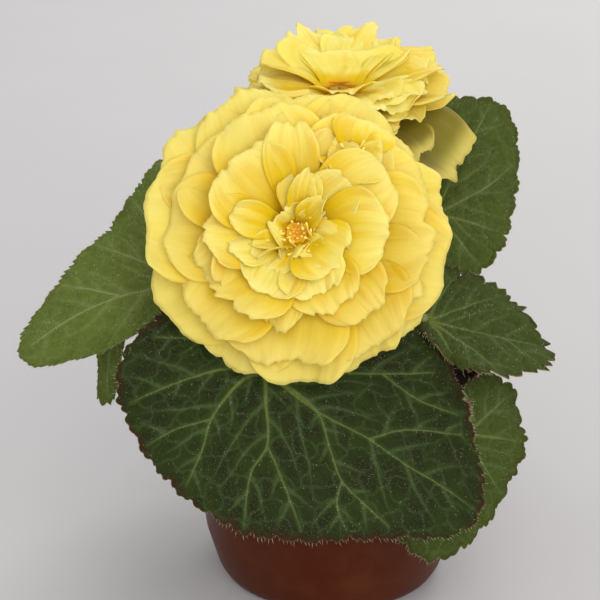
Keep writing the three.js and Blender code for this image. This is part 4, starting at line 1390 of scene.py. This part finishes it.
FRONT_SMALL = [
    # petals that fill the ring round the throat
    [240, 25, 24, 4.05], [44, 26, 20, 4], [192, 24, 18, 4.2], [290, 24, 24, 4.2],
    # small petals with pale, folded-back rims
    [222, 15.5, 17, 4.7, 30, 112], [285, 13.5, 14, 4.8, 34, 114], [338, 17, 17, 4.9, 26, 108],
    [84, 20, 14, 4.9, 34, 104], [176, 18, 16, 4.8, 34, 106], [38, 12, 10, 5.4, 20, 84],
    [310, 11, 11, 5.2, 20, 96], [250, 10.5, 9, 5.3, 16, 92],
    # the golden cup on the left
    [140, 9.5, 18, 5.5, 8, 62],
]
REAR_SMALL = [
    # the low scoop before the upright petals, and ruffled tips behind it
    [92, 13, 50, 5.3], [112, 23, 26, 4.5], [72, 23, 26, 4.5],
    # broad petals that lie before the throat
    [-66, 31, 46, 4.2, 56, 104], [-126, 31, 44, 4, 58, 106], [-14, 33, 38, 4.1, 54, 98],
    [-172, 33, 38, 4.1, 54, 98],
]
SIDE_WHORL = [[70, 26, 44, 4.1], [155, 18, 34, 4.2], [350, 19, 34, 4.2], [250, 19, 44, 4.2]]
SIDE_THROAT, SIDE_TURN, SIDE_SIZE = (20, 26, 1.5), (0.3, 4, (-0.8, 0.6, 0)), 0.52
SIDE_WHORL_FRAME = (
    Matrix.Translation(SIDE_THROAT) @ Matrix.Rotation(*SIDE_TURN) @ Matrix.Scale(SIDE_SIZE, 4)
)
BLOOMS = {
    "front": {
        "throat": (-13.3, -55, 162), "axis": (-0.02, -0.93, 0.37), "seed": 11,
        "petals": FRONT_PETALS, "small": FRONT_SMALL, "side_whorl": SIDE_WHORL,
    },
    "rear": {
        "throat": (4, 19.7, 196), "axis": (0.02, -0.17, 0.985), "seed": 29,
        "petals": REAR_PETALS, "small": REAR_SMALL, "side_whorl": [],
    },
}
PETAL_GRID = (30, 24)
SMALL_PETAL_GRID = (18, 18)
SMALL_PETAL_WIDTH = 20
PETAL_THICKNESS = 0.26
for name, bloom in BLOOMS.items():
    print(name, "bloom:", sum(len(bloom[key]) for key in ("petals", "small", "side_whorl")), "petals")


def bloom_frame(bloom):
    """Turns a bloom's own axis to its direction, with azimuth 0 kept on the right."""
    z = Vector(bloom["axis"]).normalized()
    y = z.cross(Vector((1, 0, 0))).normalized()
    x = y.cross(z)
    turn = Matrix((x, y, z)).transposed().to_4x4()
    return Matrix.Translation(bloom["throat"]) @ turn


# %% [markdown]
# ## A petal's form
# A petal rises from its root and opens outwards along an arc. Across that arc it is cupped, tilted so
# that it laps over its neighbour, and rippled; all that is the solid's own formula. The finer grid
# adds what a stiff solid leaves out: a frayed and notched margin with rounded corners, a wavy brim
# that flares back, shallow pleats that fan out from the root, a crumpled middle and a crease.
# Petals overlap at their roots, so they stay open skins with a thickness of their own rather than
# one blown-up ball.

# %% A petal's margin
def frayed(petal, u, v):
    """Moves the margin in and out: waves, frays, one tear and rounded corners."""
    phase, frill = petal["phase"], petal["frill"]
    cleft_at, cleft = 0.7 * math.sin(17 * phase), 0.03 * (1 + math.sin(23 * phase))
    upper = np.clip((v - 0.5) / 0.5, 0, 1)
    frays = (
        0.018 * np.sin(8 * u + 2 * np.sin(2 * u + phase) + 5 * phase)
        + 0.008 * np.sin(19 * u + 2 * np.sin(3 * u) + 9 * phase)
        + 0.005 * np.sin(41 * u + 3 * np.sin(5 * u) + 13 * phase)
        - cleft * np.exp(-(((u - cleft_at) / 0.09) ** 2))
    )
    tatters = 0.1 * np.sin(7 * u + phase) + 0.03 * np.sin(16 * u + 2 * phase)
    notches = 0.02 * np.sin(4 * u + 2 * phase) + frill * frays + petal["ragged"] * tatters
    return u * (1 - 0.06 * upper**6), v + upper**2 * (notches - 0.05 * np.abs(u) ** 6)


# %% A petal's relief
BRIM = (0.72, 1.02)
WAVY, CRUMPLED, CREASED = 1.4, 1.2, 1.5


def crumpled(petal, u, v, brim):
    """How far a petal 40 mm wide stands out of its smooth form, in millimetres."""
    phase = petal["phase"]
    wavy = 0.8 * np.sin(6 * u + 3 * phase) + 0.7 * np.sin(12 * v + 4 * u + phase) * np.abs(u)
    crinkle = 0.34 * np.sin(17 * u + 7 * v + 7 * phase)
    crinkle = crinkle + 0.24 * np.sin(29 * u - 11 * v + 5 * phase)
    pleats = 0.22 * np.sin(14 * u + 3 * np.sin(phase + 2 * u) + 2 * v)
    pleats = pleats + 0.12 * np.sin(33 * u + 4 * np.sin(2 * phase + 3 * u) - 3 * v)
    crumple = 0.35 * np.sin(5 * u + 6 * v + 11 * phase) * np.sin(4 * v - 3 * u + 5 * phase)
    one_side = smooth(u * petal["side"], 0.25, 1) ** 2 * smooth(v, 0.1, 0.7)
    return (
        brim * (WAVY * wavy + petal["frill"] * crinkle)
        + pleats * smooth(v, 0.08, 0.4)
        + petal["roll"] * smooth(v, 0.55, 1.05) ** 2
        + petal["side_roll"] * one_side
        + CRUMPLED * crumple * smooth(v, 0.1, 0.5)
    )


def creased(petal, u, v):
    """How deep a point lies in the petal's crease, from 0 to 1 or more."""
    across = (u - 0.5 * math.sin(7 * petal["phase"]) - 0.15 * v) / 0.13
    return petal["crease"] * np.exp(-(across**2)) * smooth(v, 0.05, 0.3) * (1 - smooth(v, 0.6, 1))


# %% A petal's form
def petal_points(petal, u, v):
    """A petal's points, its flat coordinates, and how near each is to the brim and the crease."""
    azimuth, reach, width, layer, *_ = petal["shape"]
    i = min(int(layer), len(LAYERS) - 2)
    seat, root, opened, laid = LAYERS[i] + (LAYERS[i + 1] - LAYERS[i]) * (layer - i)
    opened, laid = (math.radians(a) for a in petal["angles"] or (opened, laid))
    sweep = laid - opened
    length = (reach - root) * sweep / (math.cos(opened) - math.cos(laid))
    u, v = frayed(petal, u, v)

    # the arc from root to tip, and the petal's half width along it
    along = v * (1 - 0.09 * u * u * v)
    angle = opened + sweep * along
    radius = root + (length / sweep) * (math.cos(opened) - np.cos(angle))
    height = seat + (length / sweep) * (np.sin(angle) - math.sin(opened))
    waist = 0.28 + 0.06 * layer
    half = (width / 2) * (waist + (1.03 - waist) * smooth(v, 0.06, 0.7))
    half = half * (1 - 0.24 * smooth(v, 0.75, 1.1)) * (1 - petal["taper"] * smooth(v, 0.45, 1.1))

    # how far the petal stands off that arc
    phase, size = petal["phase"], width / 40
    ripple = np.sin(phase + 4 * u) * v * v + 0.7 * np.sin(2 * phase + 7 * v) * u * v
    brim = smooth(np.maximum(v, np.abs(u) * (0.4 + 0.6 * v)), *BRIM)
    crease = creased(petal, u, v)
    lift = petal["cup"] * half * u * u + petal["tilt"] * half * u + petal["ruffle"] * ripple
    lift = lift + size * (crumpled(petal, u, v, brim) - CREASED * crease)
    lift = lift + petal["fold"] * (np.hypot(half * u, 0.5) - 0.5)

    # twisted about its middle, and turned to its azimuth
    twist = petal["twist"] * smooth(v, 0.05, 1.1)
    turn = math.radians(azimuth)
    sideways = half * u * np.cos(twist) - lift * np.sin(twist)
    lift = half * u * np.sin(twist) + lift * np.cos(twist)
    outward = radius - np.cos(angle) * lift
    points = np.column_stack([
        outward * math.cos(turn) - sideways * math.sin(turn),
        outward * math.sin(turn) + sideways * math.cos(turn),
        height + np.sin(angle) * lift,
    ])
    return points, half * u, length * along, brim, crease


def grow_petal(name, petal):
    """One petal, with what its material has to know of each point."""
    small = petal["shape"][2] < SMALL_PETAL_WIDTH
    piece, u, v = grid(name, *(SMALL_PETAL_GRID if small else PETAL_GRID))
    points, across, along, brim, crease = petal_points(petal, u, v)
    set_points(piece, points)
    add_map(piece, "petal", across, along)
    add_fact(piece, "across", u)
    add_fact(piece, "along", np.minimum(1, petal["gold"] * v))
    add_fact(piece, "brim", brim)
    add_fact(piece, "crease", crease)
    add_fact(piece, "paleness_and_painted_light", np.full(len(u), petal["paleness_and_painted_light"]))
    add_fact(piece, "layer", np.full(len(u), petal["shape"][3]))
    apply_modifier(piece, "SOLIDIFY", thickness=PETAL_THICKNESS * MM, offset=0)
    return piece


# %% Chances of the petals
def petals_from(shapes, seed):
    """Petals with the solids' own chances, in the same order, and with finer ones."""
    draw, fine = draws(seed), draws(seed + 40)
    petals = []
    for shape in shapes:
        azimuth, _, _, layer, *angles = shape
        inner = smooth(layer, 4.25, 4.9)
        petals.append({
            "shape": shape,
            "angles": angles,
            # as in the solids
            "phase": 3 * draw(),
            "tilt": 0.09 + 0.02 * draw(),
            "cup": 0.06 + 0.04 * layer + 0.08 * draw(),
            "ruffle": 1.1 + 0.5 * draw(),
            # finer: guard petals are smoother, and the inner ones are folded, twisted and torn
            "frill": (0.8 + 0.6 * fine()) * (0.5 if layer < 1.6 else 1),
            "roll": 0.6 + 1.8 * fine(),
            "side_roll": 0.15 + 0.3 * fine(),
            "side": 1 if fine() > 0 else -1,
            "fold": 0.4 * inner,
            "twist": 0.9 * inner * fine(),
            "taper": 0.2 * smooth(layer, 4.5, 5.2),
            "ragged": 0.5 * inner,
            # painted light and shade: paler towards azimuth 90 and more golden towards 270, plus a
            # random tone
            "paleness_and_painted_light": 0.64 + 0.14 * math.sin(math.radians(azimuth)) + 0.12 * fine(),
            "gold": 1.0,
            "crease": max(0.0, 0.4 + 0.8 * fine()),
        })
    return petals


# %% [markdown]
# ## Petal skin
# Petals owe their glow to being thin: light that enters one petal leaves it on the other side and
# warms the next. So the skin is part Principled, part Translucent, both with the same colour. The
# colour runs from orange-gold at the root over bright yellow to pale lemon towards the brim, which
# is palest of all. Fine streaks and broader bands of a deeper yellow fan out from the root, where
# the petal's vessels lie. The creases, and the low sides of a petal where its neighbours overlap it,
# keep the deep yellow as painted shade. Petals towards azimuth 270, low on the front bloom, are
# more golden and those towards azimuth 90 paler, as painted shade and painted light. A petal that
# hangs down behind the bloom is painted dark olive for the shade under it, lighter at its brim.

# %% Petal skin
def petal_skin():
    """One skin for all petals; the facts on their points tell them apart."""
    material, tree, surface_of = new_material("petal_skin")
    flat = node(tree, "UVMap", {"uv_map": "petal"})
    across, along, layer, brim, paleness_and_painted_light, crease = (
        node(tree, "Attribute", {"attribute_name": key}, "Fac")
        for key in ("across", "along", "layer", "brim", "paleness_and_painted_light", "crease")
    )

    # the patterns: streaks and bands that fan out from the root, and soft clouds
    drawn_out = node(tree, "Math", TIMES, i0=along, i1=0.12)
    fan = node(tree, "CombineXYZ", X=across, Y=drawn_out, Z=layer)
    streaks = node(tree, "TexNoise", Vector=fan, Scale=0.5 / 0.045, Detail=3, Roughness=0.5)
    folds = node(tree, "TexNoise", Vector=fan, Scale=0.5 / 0.16, Detail=2, Roughness=0.4)
    clouds = node(tree, "TexNoise", Vector=flat, Scale=0.5 / 8, **CLOUDY)

    # where the petal is pale: towards its tip, less so on the bloom's painted shaded side, and not in
    # the
    #     # painted shade low on its sides and in its crease
    reach = node(tree, "Math", TIMES_PLUS, i0=streaks, i1=0.25, i2=along)
    reach = node(tree, "Math", TIMES_PLUS, i0=folds, i1=0.7, i2=reach)
    pale = node(tree, "MapRange", SMOOTHLY, Value=reach, From_Min=0.82, From_Max=1.32)
    # painted light and shade: paler on the bloom's upper side and more golden on its lower, with
    # random tone
    pale_share_and_painted_light = node(tree, "MapRange", SMOOTHLY, Value=paleness_and_painted_light, From_Min=0.2, To_Min=0.4)
    # painted shade low on the petal's sides, where its neighbours overlap it
    low = node(tree, "MapRange", SMOOTHLY, Value=along, From_Min=0.55, From_Max=0.95, **FADES)
    aside = node(tree, "Math", UNSIGNED, i0=across)
    aside = node(tree, "MapRange", SMOOTHLY, Value=aside, From_Min=0.4, From_Max=0.95)
    shoulder = node(tree, "Math", TIMES, i0=low, i1=aside)
    shoulder = node(tree, "MapRange", SMOOTHLY, Value=shoulder, To_Min=1, To_Max=0.45)
    # painted shade: the crease stays deep yellow
    outside_painted_crease_shade = node(tree, "MapRange", SMOOTHLY, Value=crease, From_Min=0.1, From_Max=0.9, **FADES)
    for share in (pale_share_and_painted_light, shoulder, outside_painted_crease_shade):
        pale = node(tree, "Math", TIMES, i0=pale, i1=share)

    # where the other colours are
    past_root = node(tree, "MapRange", SMOOTHLY, Value=along, From_Max=0.1)
    past_gold = node(tree, "MapRange", SMOOTHLY, Value=along, From_Min=0.06, From_Max=0.3)
    cloudy = node(tree, "MapRange", SMOOTHLY, Value=clouds, From_Min=0.45, From_Max=0.7)
    streaky = node(tree, "MapRange", SMOOTHLY, Value=streaks, From_Min=0.48, From_Max=0.7)
    bands = node(tree, "MapRange", SMOOTHLY, Value=folds, From_Min=0.5, From_Max=0.66)
    off_brim = node(tree, "MapRange", SMOOTHLY, Value=brim, From_Min=0.2, To_Min=0.55, To_Max=0.1)
    # painted shade: hanging petals go dark olive, lighter towards the brim, for the shade under the
    # bloom
    hanging_shade = node(tree, "MapRange", SMOOTHLY, Value=layer, From_Min=0.65, From_Max=0.98, **FADES)
    inside = node(tree, "MapRange", SMOOTHLY, Value=brim, From_Max=0.9, To_Min=0.85, To_Max=0.15)
    coats = [
        (pale, "#fcf280"),
        (node(tree, "Math", TIMES, i0=cloudy, i1=0.3), "#fbe644"),
        (node(tree, "Math", TIMES, i0=streaky, i1=0.3), "#f7d622"),
        (node(tree, "Math", TIMES, i0=bands, i1=off_brim), "#f3cf22"),
        (node(tree, "Math", TIMES, i0=brim, i1=0.4), "#fdf6ae"),
        (node(tree, "Math", TIMES, i0=hanging_shade, i1=inside), "#857b2a"),
    ]
    colour = node(tree, "Mix", IN_COLOUR, 2, i0=past_gold, i6="#f6c62a", i7="#f6da1c")
    colour = node(tree, "Mix", IN_COLOUR, 2, i0=past_root, i6="#f0a634", i7=colour)
    for share, coat in coats:
        colour = node(tree, "Mix", IN_COLOUR, 2, i0=share, i6=colour, i7=coat)

    relief = node(tree, "Bump", Height=streaks, Distance=0.45 * MM, Strength=0.8)
    relief = node(tree, "Bump", Height=folds, Distance=0.7 * MM, Strength=0.6, Normal=relief)
    skin = node(
        tree, "BsdfPrincipled", Base_Color=colour, Roughness=0.5, Normal=relief,
        Specular_IOR_Level=0.2,
    )
    # the receptacle is solid flesh, and lets no light through
    limits = {"From_Min": 2.6, "From_Max": 4.2, "To_Min": 0.46, "To_Max": 0.34}
    thin = node(tree, "MapRange", SMOOTHLY, Value=layer, **limits)
    petal = node(tree, "MapRange", SMOOTHLY, Value=layer, From_Min=5.6, From_Max=5.9, **FADES)
    thin = node(tree, "Math", TIMES, i0=thin, i1=petal)
    tree.links.new(see_through(tree, thin, skin, colour, relief), surface_of)
    return material


# %% [markdown]
# ## The petals grow
# The two blooms grow from the same formula, with other habits. The rear bloom is looser: its petals
# are smooth, flat and golden only near the root, apart from the tall ragged ones at its back and the
# wavy ones that hang down. The small petals round a throat stand or fold back on angles of their
# own, and are paler, crumpled and torn.
#
# All petals sit on a receptacle, the swollen green end of the stalk. It is turned like the pot, and
# closes over a shallow golden hollow, which shows at the bottom of the throat and has the petals'
# skin.

# %% Habits of the petals
SMOOTH = {"fold": 0, "twist": 0, "taper": 0}
HANGING = {"ruffle": 2.6, "frill": 1.2, "roll": 3}
SMALL = {"gold": 1.6, "paleness_and_painted_light": 1.0, "side_roll": 0}
FOLDED_BACK = {"roll": -0.4, "frill": 1.8, "ragged": 0.8, "ruffle": 2.4, "crease": 1}
LAID_FORWARD = {"cup": 0.05, "ruffle": 1.8, "roll": -0.5}
IN_SIDE_WHORL = {"roll": 0, "side_roll": 0, "twist": 0}
TALL_LAYER = 4.15
TIP_WIDTH = 26


def large_petals(name, bloom):
    """The petals that the solid has too."""
    for petal in petals_from(bloom["petals"], bloom["seed"]):
        layer = petal["shape"][3]
        if name == "rear":
            petal.update(SMOOTH, cup=0.6 * petal["cup"], gold=2.2, ragged=layer > TALL_LAYER)
            if layer < 1:
                petal.update(HANGING)
        yield grow_petal(f"{name}_petal", petal)


def small_petals(name, bloom):
    """The petals that fill and ruffle the throat."""
    for petal in petals_from(bloom["small"], bloom["seed"] + 1):
        petal.update(SMALL)
        if petal["angles"]:
            petal.update(FOLDED_BACK, twist=0.5 * petal["twist"])
        if name == "rear":
            petal.update(SMOOTH, gold=2.6, ragged=petal["shape"][2] == TIP_WIDTH)
            if petal["angles"]:
                petal.update(LAID_FORWARD)
        yield grow_petal(f"{name}_small_petal", petal)


def side_whorl(name, bloom):
    """The little whorl round the second throat."""
    for petal in petals_from(bloom["side_whorl"], bloom["seed"] + 2):
        petal.update(IN_SIDE_WHORL)
        piece = grow_petal(f"{name}_whorl_petal", petal)
        place(piece, SIDE_WHORL_FRAME)
        yield piece


# %% The receptacle
RECEPTACLE = [[1.5, -19], [4, -19], [7, -15.5], [8.4, -13], [7.8, -10], [6.4, -7]]
GOLDEN_HOLLOW = {
    "front": [[5.6, -3], [5.1, -0.3], [4.2, -0.8], [2.8, -1.5], [1.2, -1.9]],
    "rear": [[5, -5.5], [3, -4.8], [1, -4.6]],
}
GREEN_BELOW = -7.5
CORE_LAYER = 6
GOLD_REACH = 40  # the hollow's gold is that of a petal this long


def receptacle(name, flesh, petal_look):
    """The green flesh below and the golden hollow above it, with the facts of a petal."""
    core = turned(name + "_receptacle", RECEPTACLE + GOLDEN_HOLLOW[name], 40)
    out = np.hypot(*points_of(core)[:, :2].T)
    for key in ("across", "brim", "crease", "paleness_and_painted_light"):
        add_fact(core, key, 0 * out)
    add_fact(core, "layer", 0 * out + CORE_LAYER)
    add_fact(core, "along", out / GOLD_REACH)
    core.data.materials.append(flesh)
    core.data.materials.append(petal_look)
    for face in core.data.polygons:
        face.material_index = int(face.center.z > GREEN_BELOW * MM)
    return core


# %% The blooms open
petal_look = petal_skin()
core_look = fleshy("fleshy_receptacle", "#8a7a3c", "#a8964a", "#8f9a4c")
for name, bloom in BLOOMS.items():
    petals = [*large_petals(name, bloom), *small_petals(name, bloom), *side_whorl(name, bloom)]
    for petal in petals:
        petal.data.materials.append(petal_look)
    whole = join(name + "_petals", [*petals, receptacle(name, core_look, petal_look)])
    place(whole, bloom_frame(bloom))
    hand_over(whole, "petal_yellow", name + "_bloom")

# %% [markdown]
# ## Stamens
# In a double bloom most stamens have turned into petals. A few filaments remain in the throat, each
# with a blunt golden anther. Nine stand on a low cushion in its middle, as in the solid, and others
# stand in tufts between the small petals round it and in the second throat.

# %% Stamens
STAMEN_SEED = 12
CUSHION = [[0.6, -1.9], [0.85, -1.7], [0.75, -1.4], [0.5, -1.2], [0.3, -1.1]]
FILAMENT_RADIUS = 0.26
# the filament's radius at equal steps, as shares of that one: the last two are the anther
FILAMENT_SHARES = (0.9, 0.7, 0.65, 0.65, 1.9, 1.6)
ARCH = 0.7
# middle of the tuft in the bloom's frame, its half width, and its number of filaments
STAMEN_TUFTS = [
    [(-6.5, -2.5, 2.6), 2.4, 9], [(5.5, -3, 2.6), 2.8, 10], [(1.5, 4.5, 2), 2, 8],
    [(1, -6.5, 2.6), 2.4, 8], [(-9.5, -1.5, 3.4), 1.8, 6], [(20, 26, 3.2), 3, 12],
]


def golden_anther():
    """Pollen sacs are waxy and deep yellow, paler where pollen dusts them."""
    material, tree, surface_of = new_material("golden_anther")
    rise = node(tree, "Attribute", {"attribute_name": "rise"}, "Fac")
    pollen = node(tree, "TexNoise", Vector=on_object(tree), Scale=0.5 / 0.35, **CLOUDY)
    dusted = node(tree, "MapRange", SMOOTHLY, Value=pollen, From_Min=0.4, From_Max=0.65)
    deep = node(tree, "MapRange", SMOOTHLY, Value=rise, From_Min=-0.5, From_Max=2.6, **FADES)
    colour = node(tree, "Mix", IN_COLOUR, 2, i0=dusted, i6="#f6d444", i7="#fbec94")
    colour = node(tree, "Mix", IN_COLOUR, 2, i0=deep, i6=colour, i7="#f2b02c")
    relief = node(tree, "Bump", Height=pollen, Distance=0.12 * MM, Strength=0.6)
    surface = node(tree, "BsdfPrincipled", Base_Color=colour, Roughness=0.5, Normal=relief)
    tree.links.new(surface, surface_of)
    return material


def filament(foot, run):
    """A filament that swells into its anther."""
    middle = foot + 0.5 * run + Vector((0, 0, ARCH))
    radii = [share * FILAMENT_RADIUS for share in FILAMENT_SHARES]
    return limb("filament", [foot, middle, foot + run], radii, 14, 8)


def middle_stamens():
    """The nine of the solid, spread out from the cushion."""
    draw = draws(STAMEN_SEED)
    for i in range(9):
        turn = math.radians(40 * i + 12 * draw())
        lean = 0.2 + 0.5 * abs(draw())
        out = Vector((math.cos(turn), math.sin(turn), 0))
        foot = (0.8 + 2.4 * lean) * out + Vector((0, 0, -1.6))
        yield filament(foot, (4.8 + draw()) * (lean * out + Vector((0, 0, 1))))


def tufts():
    """Stamens that lean out from the middle of their tuft."""
    draw = draws(STAMEN_SEED + 1)
    for middle, spread, count in STAMEN_TUFTS:
        for _ in range(count):
            aside = Vector((draw(), draw(), 0))
            foot = Vector(middle) + 0.55 * spread * aside
            lean = 1.1 * aside + Vector((0, 0, 0.8))
            yield filament(foot, (5.4 + 1.4 * draw()) * lean.normalized())


def stamens(bloom):
    """The cushion and all filaments in the bloom's throat, with each point's height in it."""
    whole = join("throat_stamens", [turned("cushion", CUSHION, 24), *middle_stamens(), *tufts()])
    add_fact(whole, "rise", points_of(whole)[:, 2])
    place(whole, bloom_frame(bloom))
    return whole


golden = stamens(BLOOMS["front"])
golden.data.materials.append(golden_anther())
hand_over(golden, "stamen_gold", "front_stamens")

# %% [markdown]
# # Floor, light and camera
# The plant stands on a pale matt floor that reaches past the view, so there is no horizon. Most of
# the light comes evenly from the whole room, which the world stands for. A wide soft box before the
# plant lights the bloom's face, and another, behind and to the right, lights the floor and throws
# soft shadows to the front left.

# %% The floor
FLOOR_SIDE = 14  # metres

bpy.ops.object.select_all(action="DESELECT")
bpy.ops.mesh.primitive_plane_add(size=FLOOR_SIDE)
floor = bpy.context.object
floor.name = "studio_floor"
material, tree, surface_of = new_material("matt_paper")
paper = node(tree, "TexNoise", Vector=on_object(tree), Scale=0.5 / 60, Detail=2, Roughness=0.55)
colour = node(tree, "Mix", IN_COLOUR, 2, i0=paper, i6="#b9b7b8", i7="#bdbbbc")
surface = node(tree, "BsdfPrincipled", Base_Color=colour, Roughness=0.9)
tree.links.new(surface, surface_of)
floor.data.materials.append(material)
floor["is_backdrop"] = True
print("floor:", FLOOR_SIDE, "m wide")

# %% Light
ROOM_TINT, ROOM_LIGHT = "#f4f4f6", 0.81
LAMP_TINT = "#fffdf8"

scene = bpy.context.scene
scene.view_settings.view_transform = "Standard"
world = bpy.data.worlds.new("even_room")
world.use_nodes = True
room = world.node_tree.nodes["Background"].inputs
room["Color"].default_value = linear(ROOM_TINT)
room["Strength"].default_value = ROOM_LIGHT
scene.world = world


def soft_light(name, where, target, size, power):
    """A round soft box; lengths in metres, power in watts."""
    lamp = bpy.data.lights.new(name, "AREA")
    lamp.shape = "DISK"
    lamp.size = size
    lamp.energy = power
    lamp.color = linear(LAMP_TINT)[:3]
    stand = bpy.data.objects.new(name, lamp)
    bpy.context.collection.objects.link(stand)
    stand.location = where
    stand.rotation_euler = (Vector(target) - Vector(where)).to_track_quat("-Z", "Y").to_euler()
    print(name, "of", power, "W")


soft_light("front_box", (0.2, -1.05, 0.62), (0, 0, 0.14), 1.0, 9.0)
soft_light("back_box", (0.5, 1.3, 1.4), (0.1, 0.3, 0), 1.2, 16.5)

# %% Camera
EYE = (-0.0122, -0.6962, 0.3823)
LOOKS_DOWN = 21  # degrees
LENS = 114  # millimetres, on a sensor 36 mm wide

camera = bpy.data.cameras.new("camera")
camera.lens = LENS
camera.sensor_width = 36
view = bpy.data.objects.new("camera", camera)
bpy.context.collection.objects.link(view)
view.location = EYE
view.rotation_euler = (math.radians(90 - LOOKS_DOWN), 0, 0)
scene.camera = view
print("camera looks down by", LOOKS_DOWN, "degrees from", EYE)

# %% [markdown]
# Both boxes, the solids' and the finished plant's, are printed side by side at the end.

# %% The two boxes
dressed_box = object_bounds()
sizes = {"solids": [list(c) for c in solid_box], "dressed": [list(c) for c in dressed_box]}
print({key: [[round(1000 * x, 1) for x in c] for c in box] for key, box in sizes.items()})
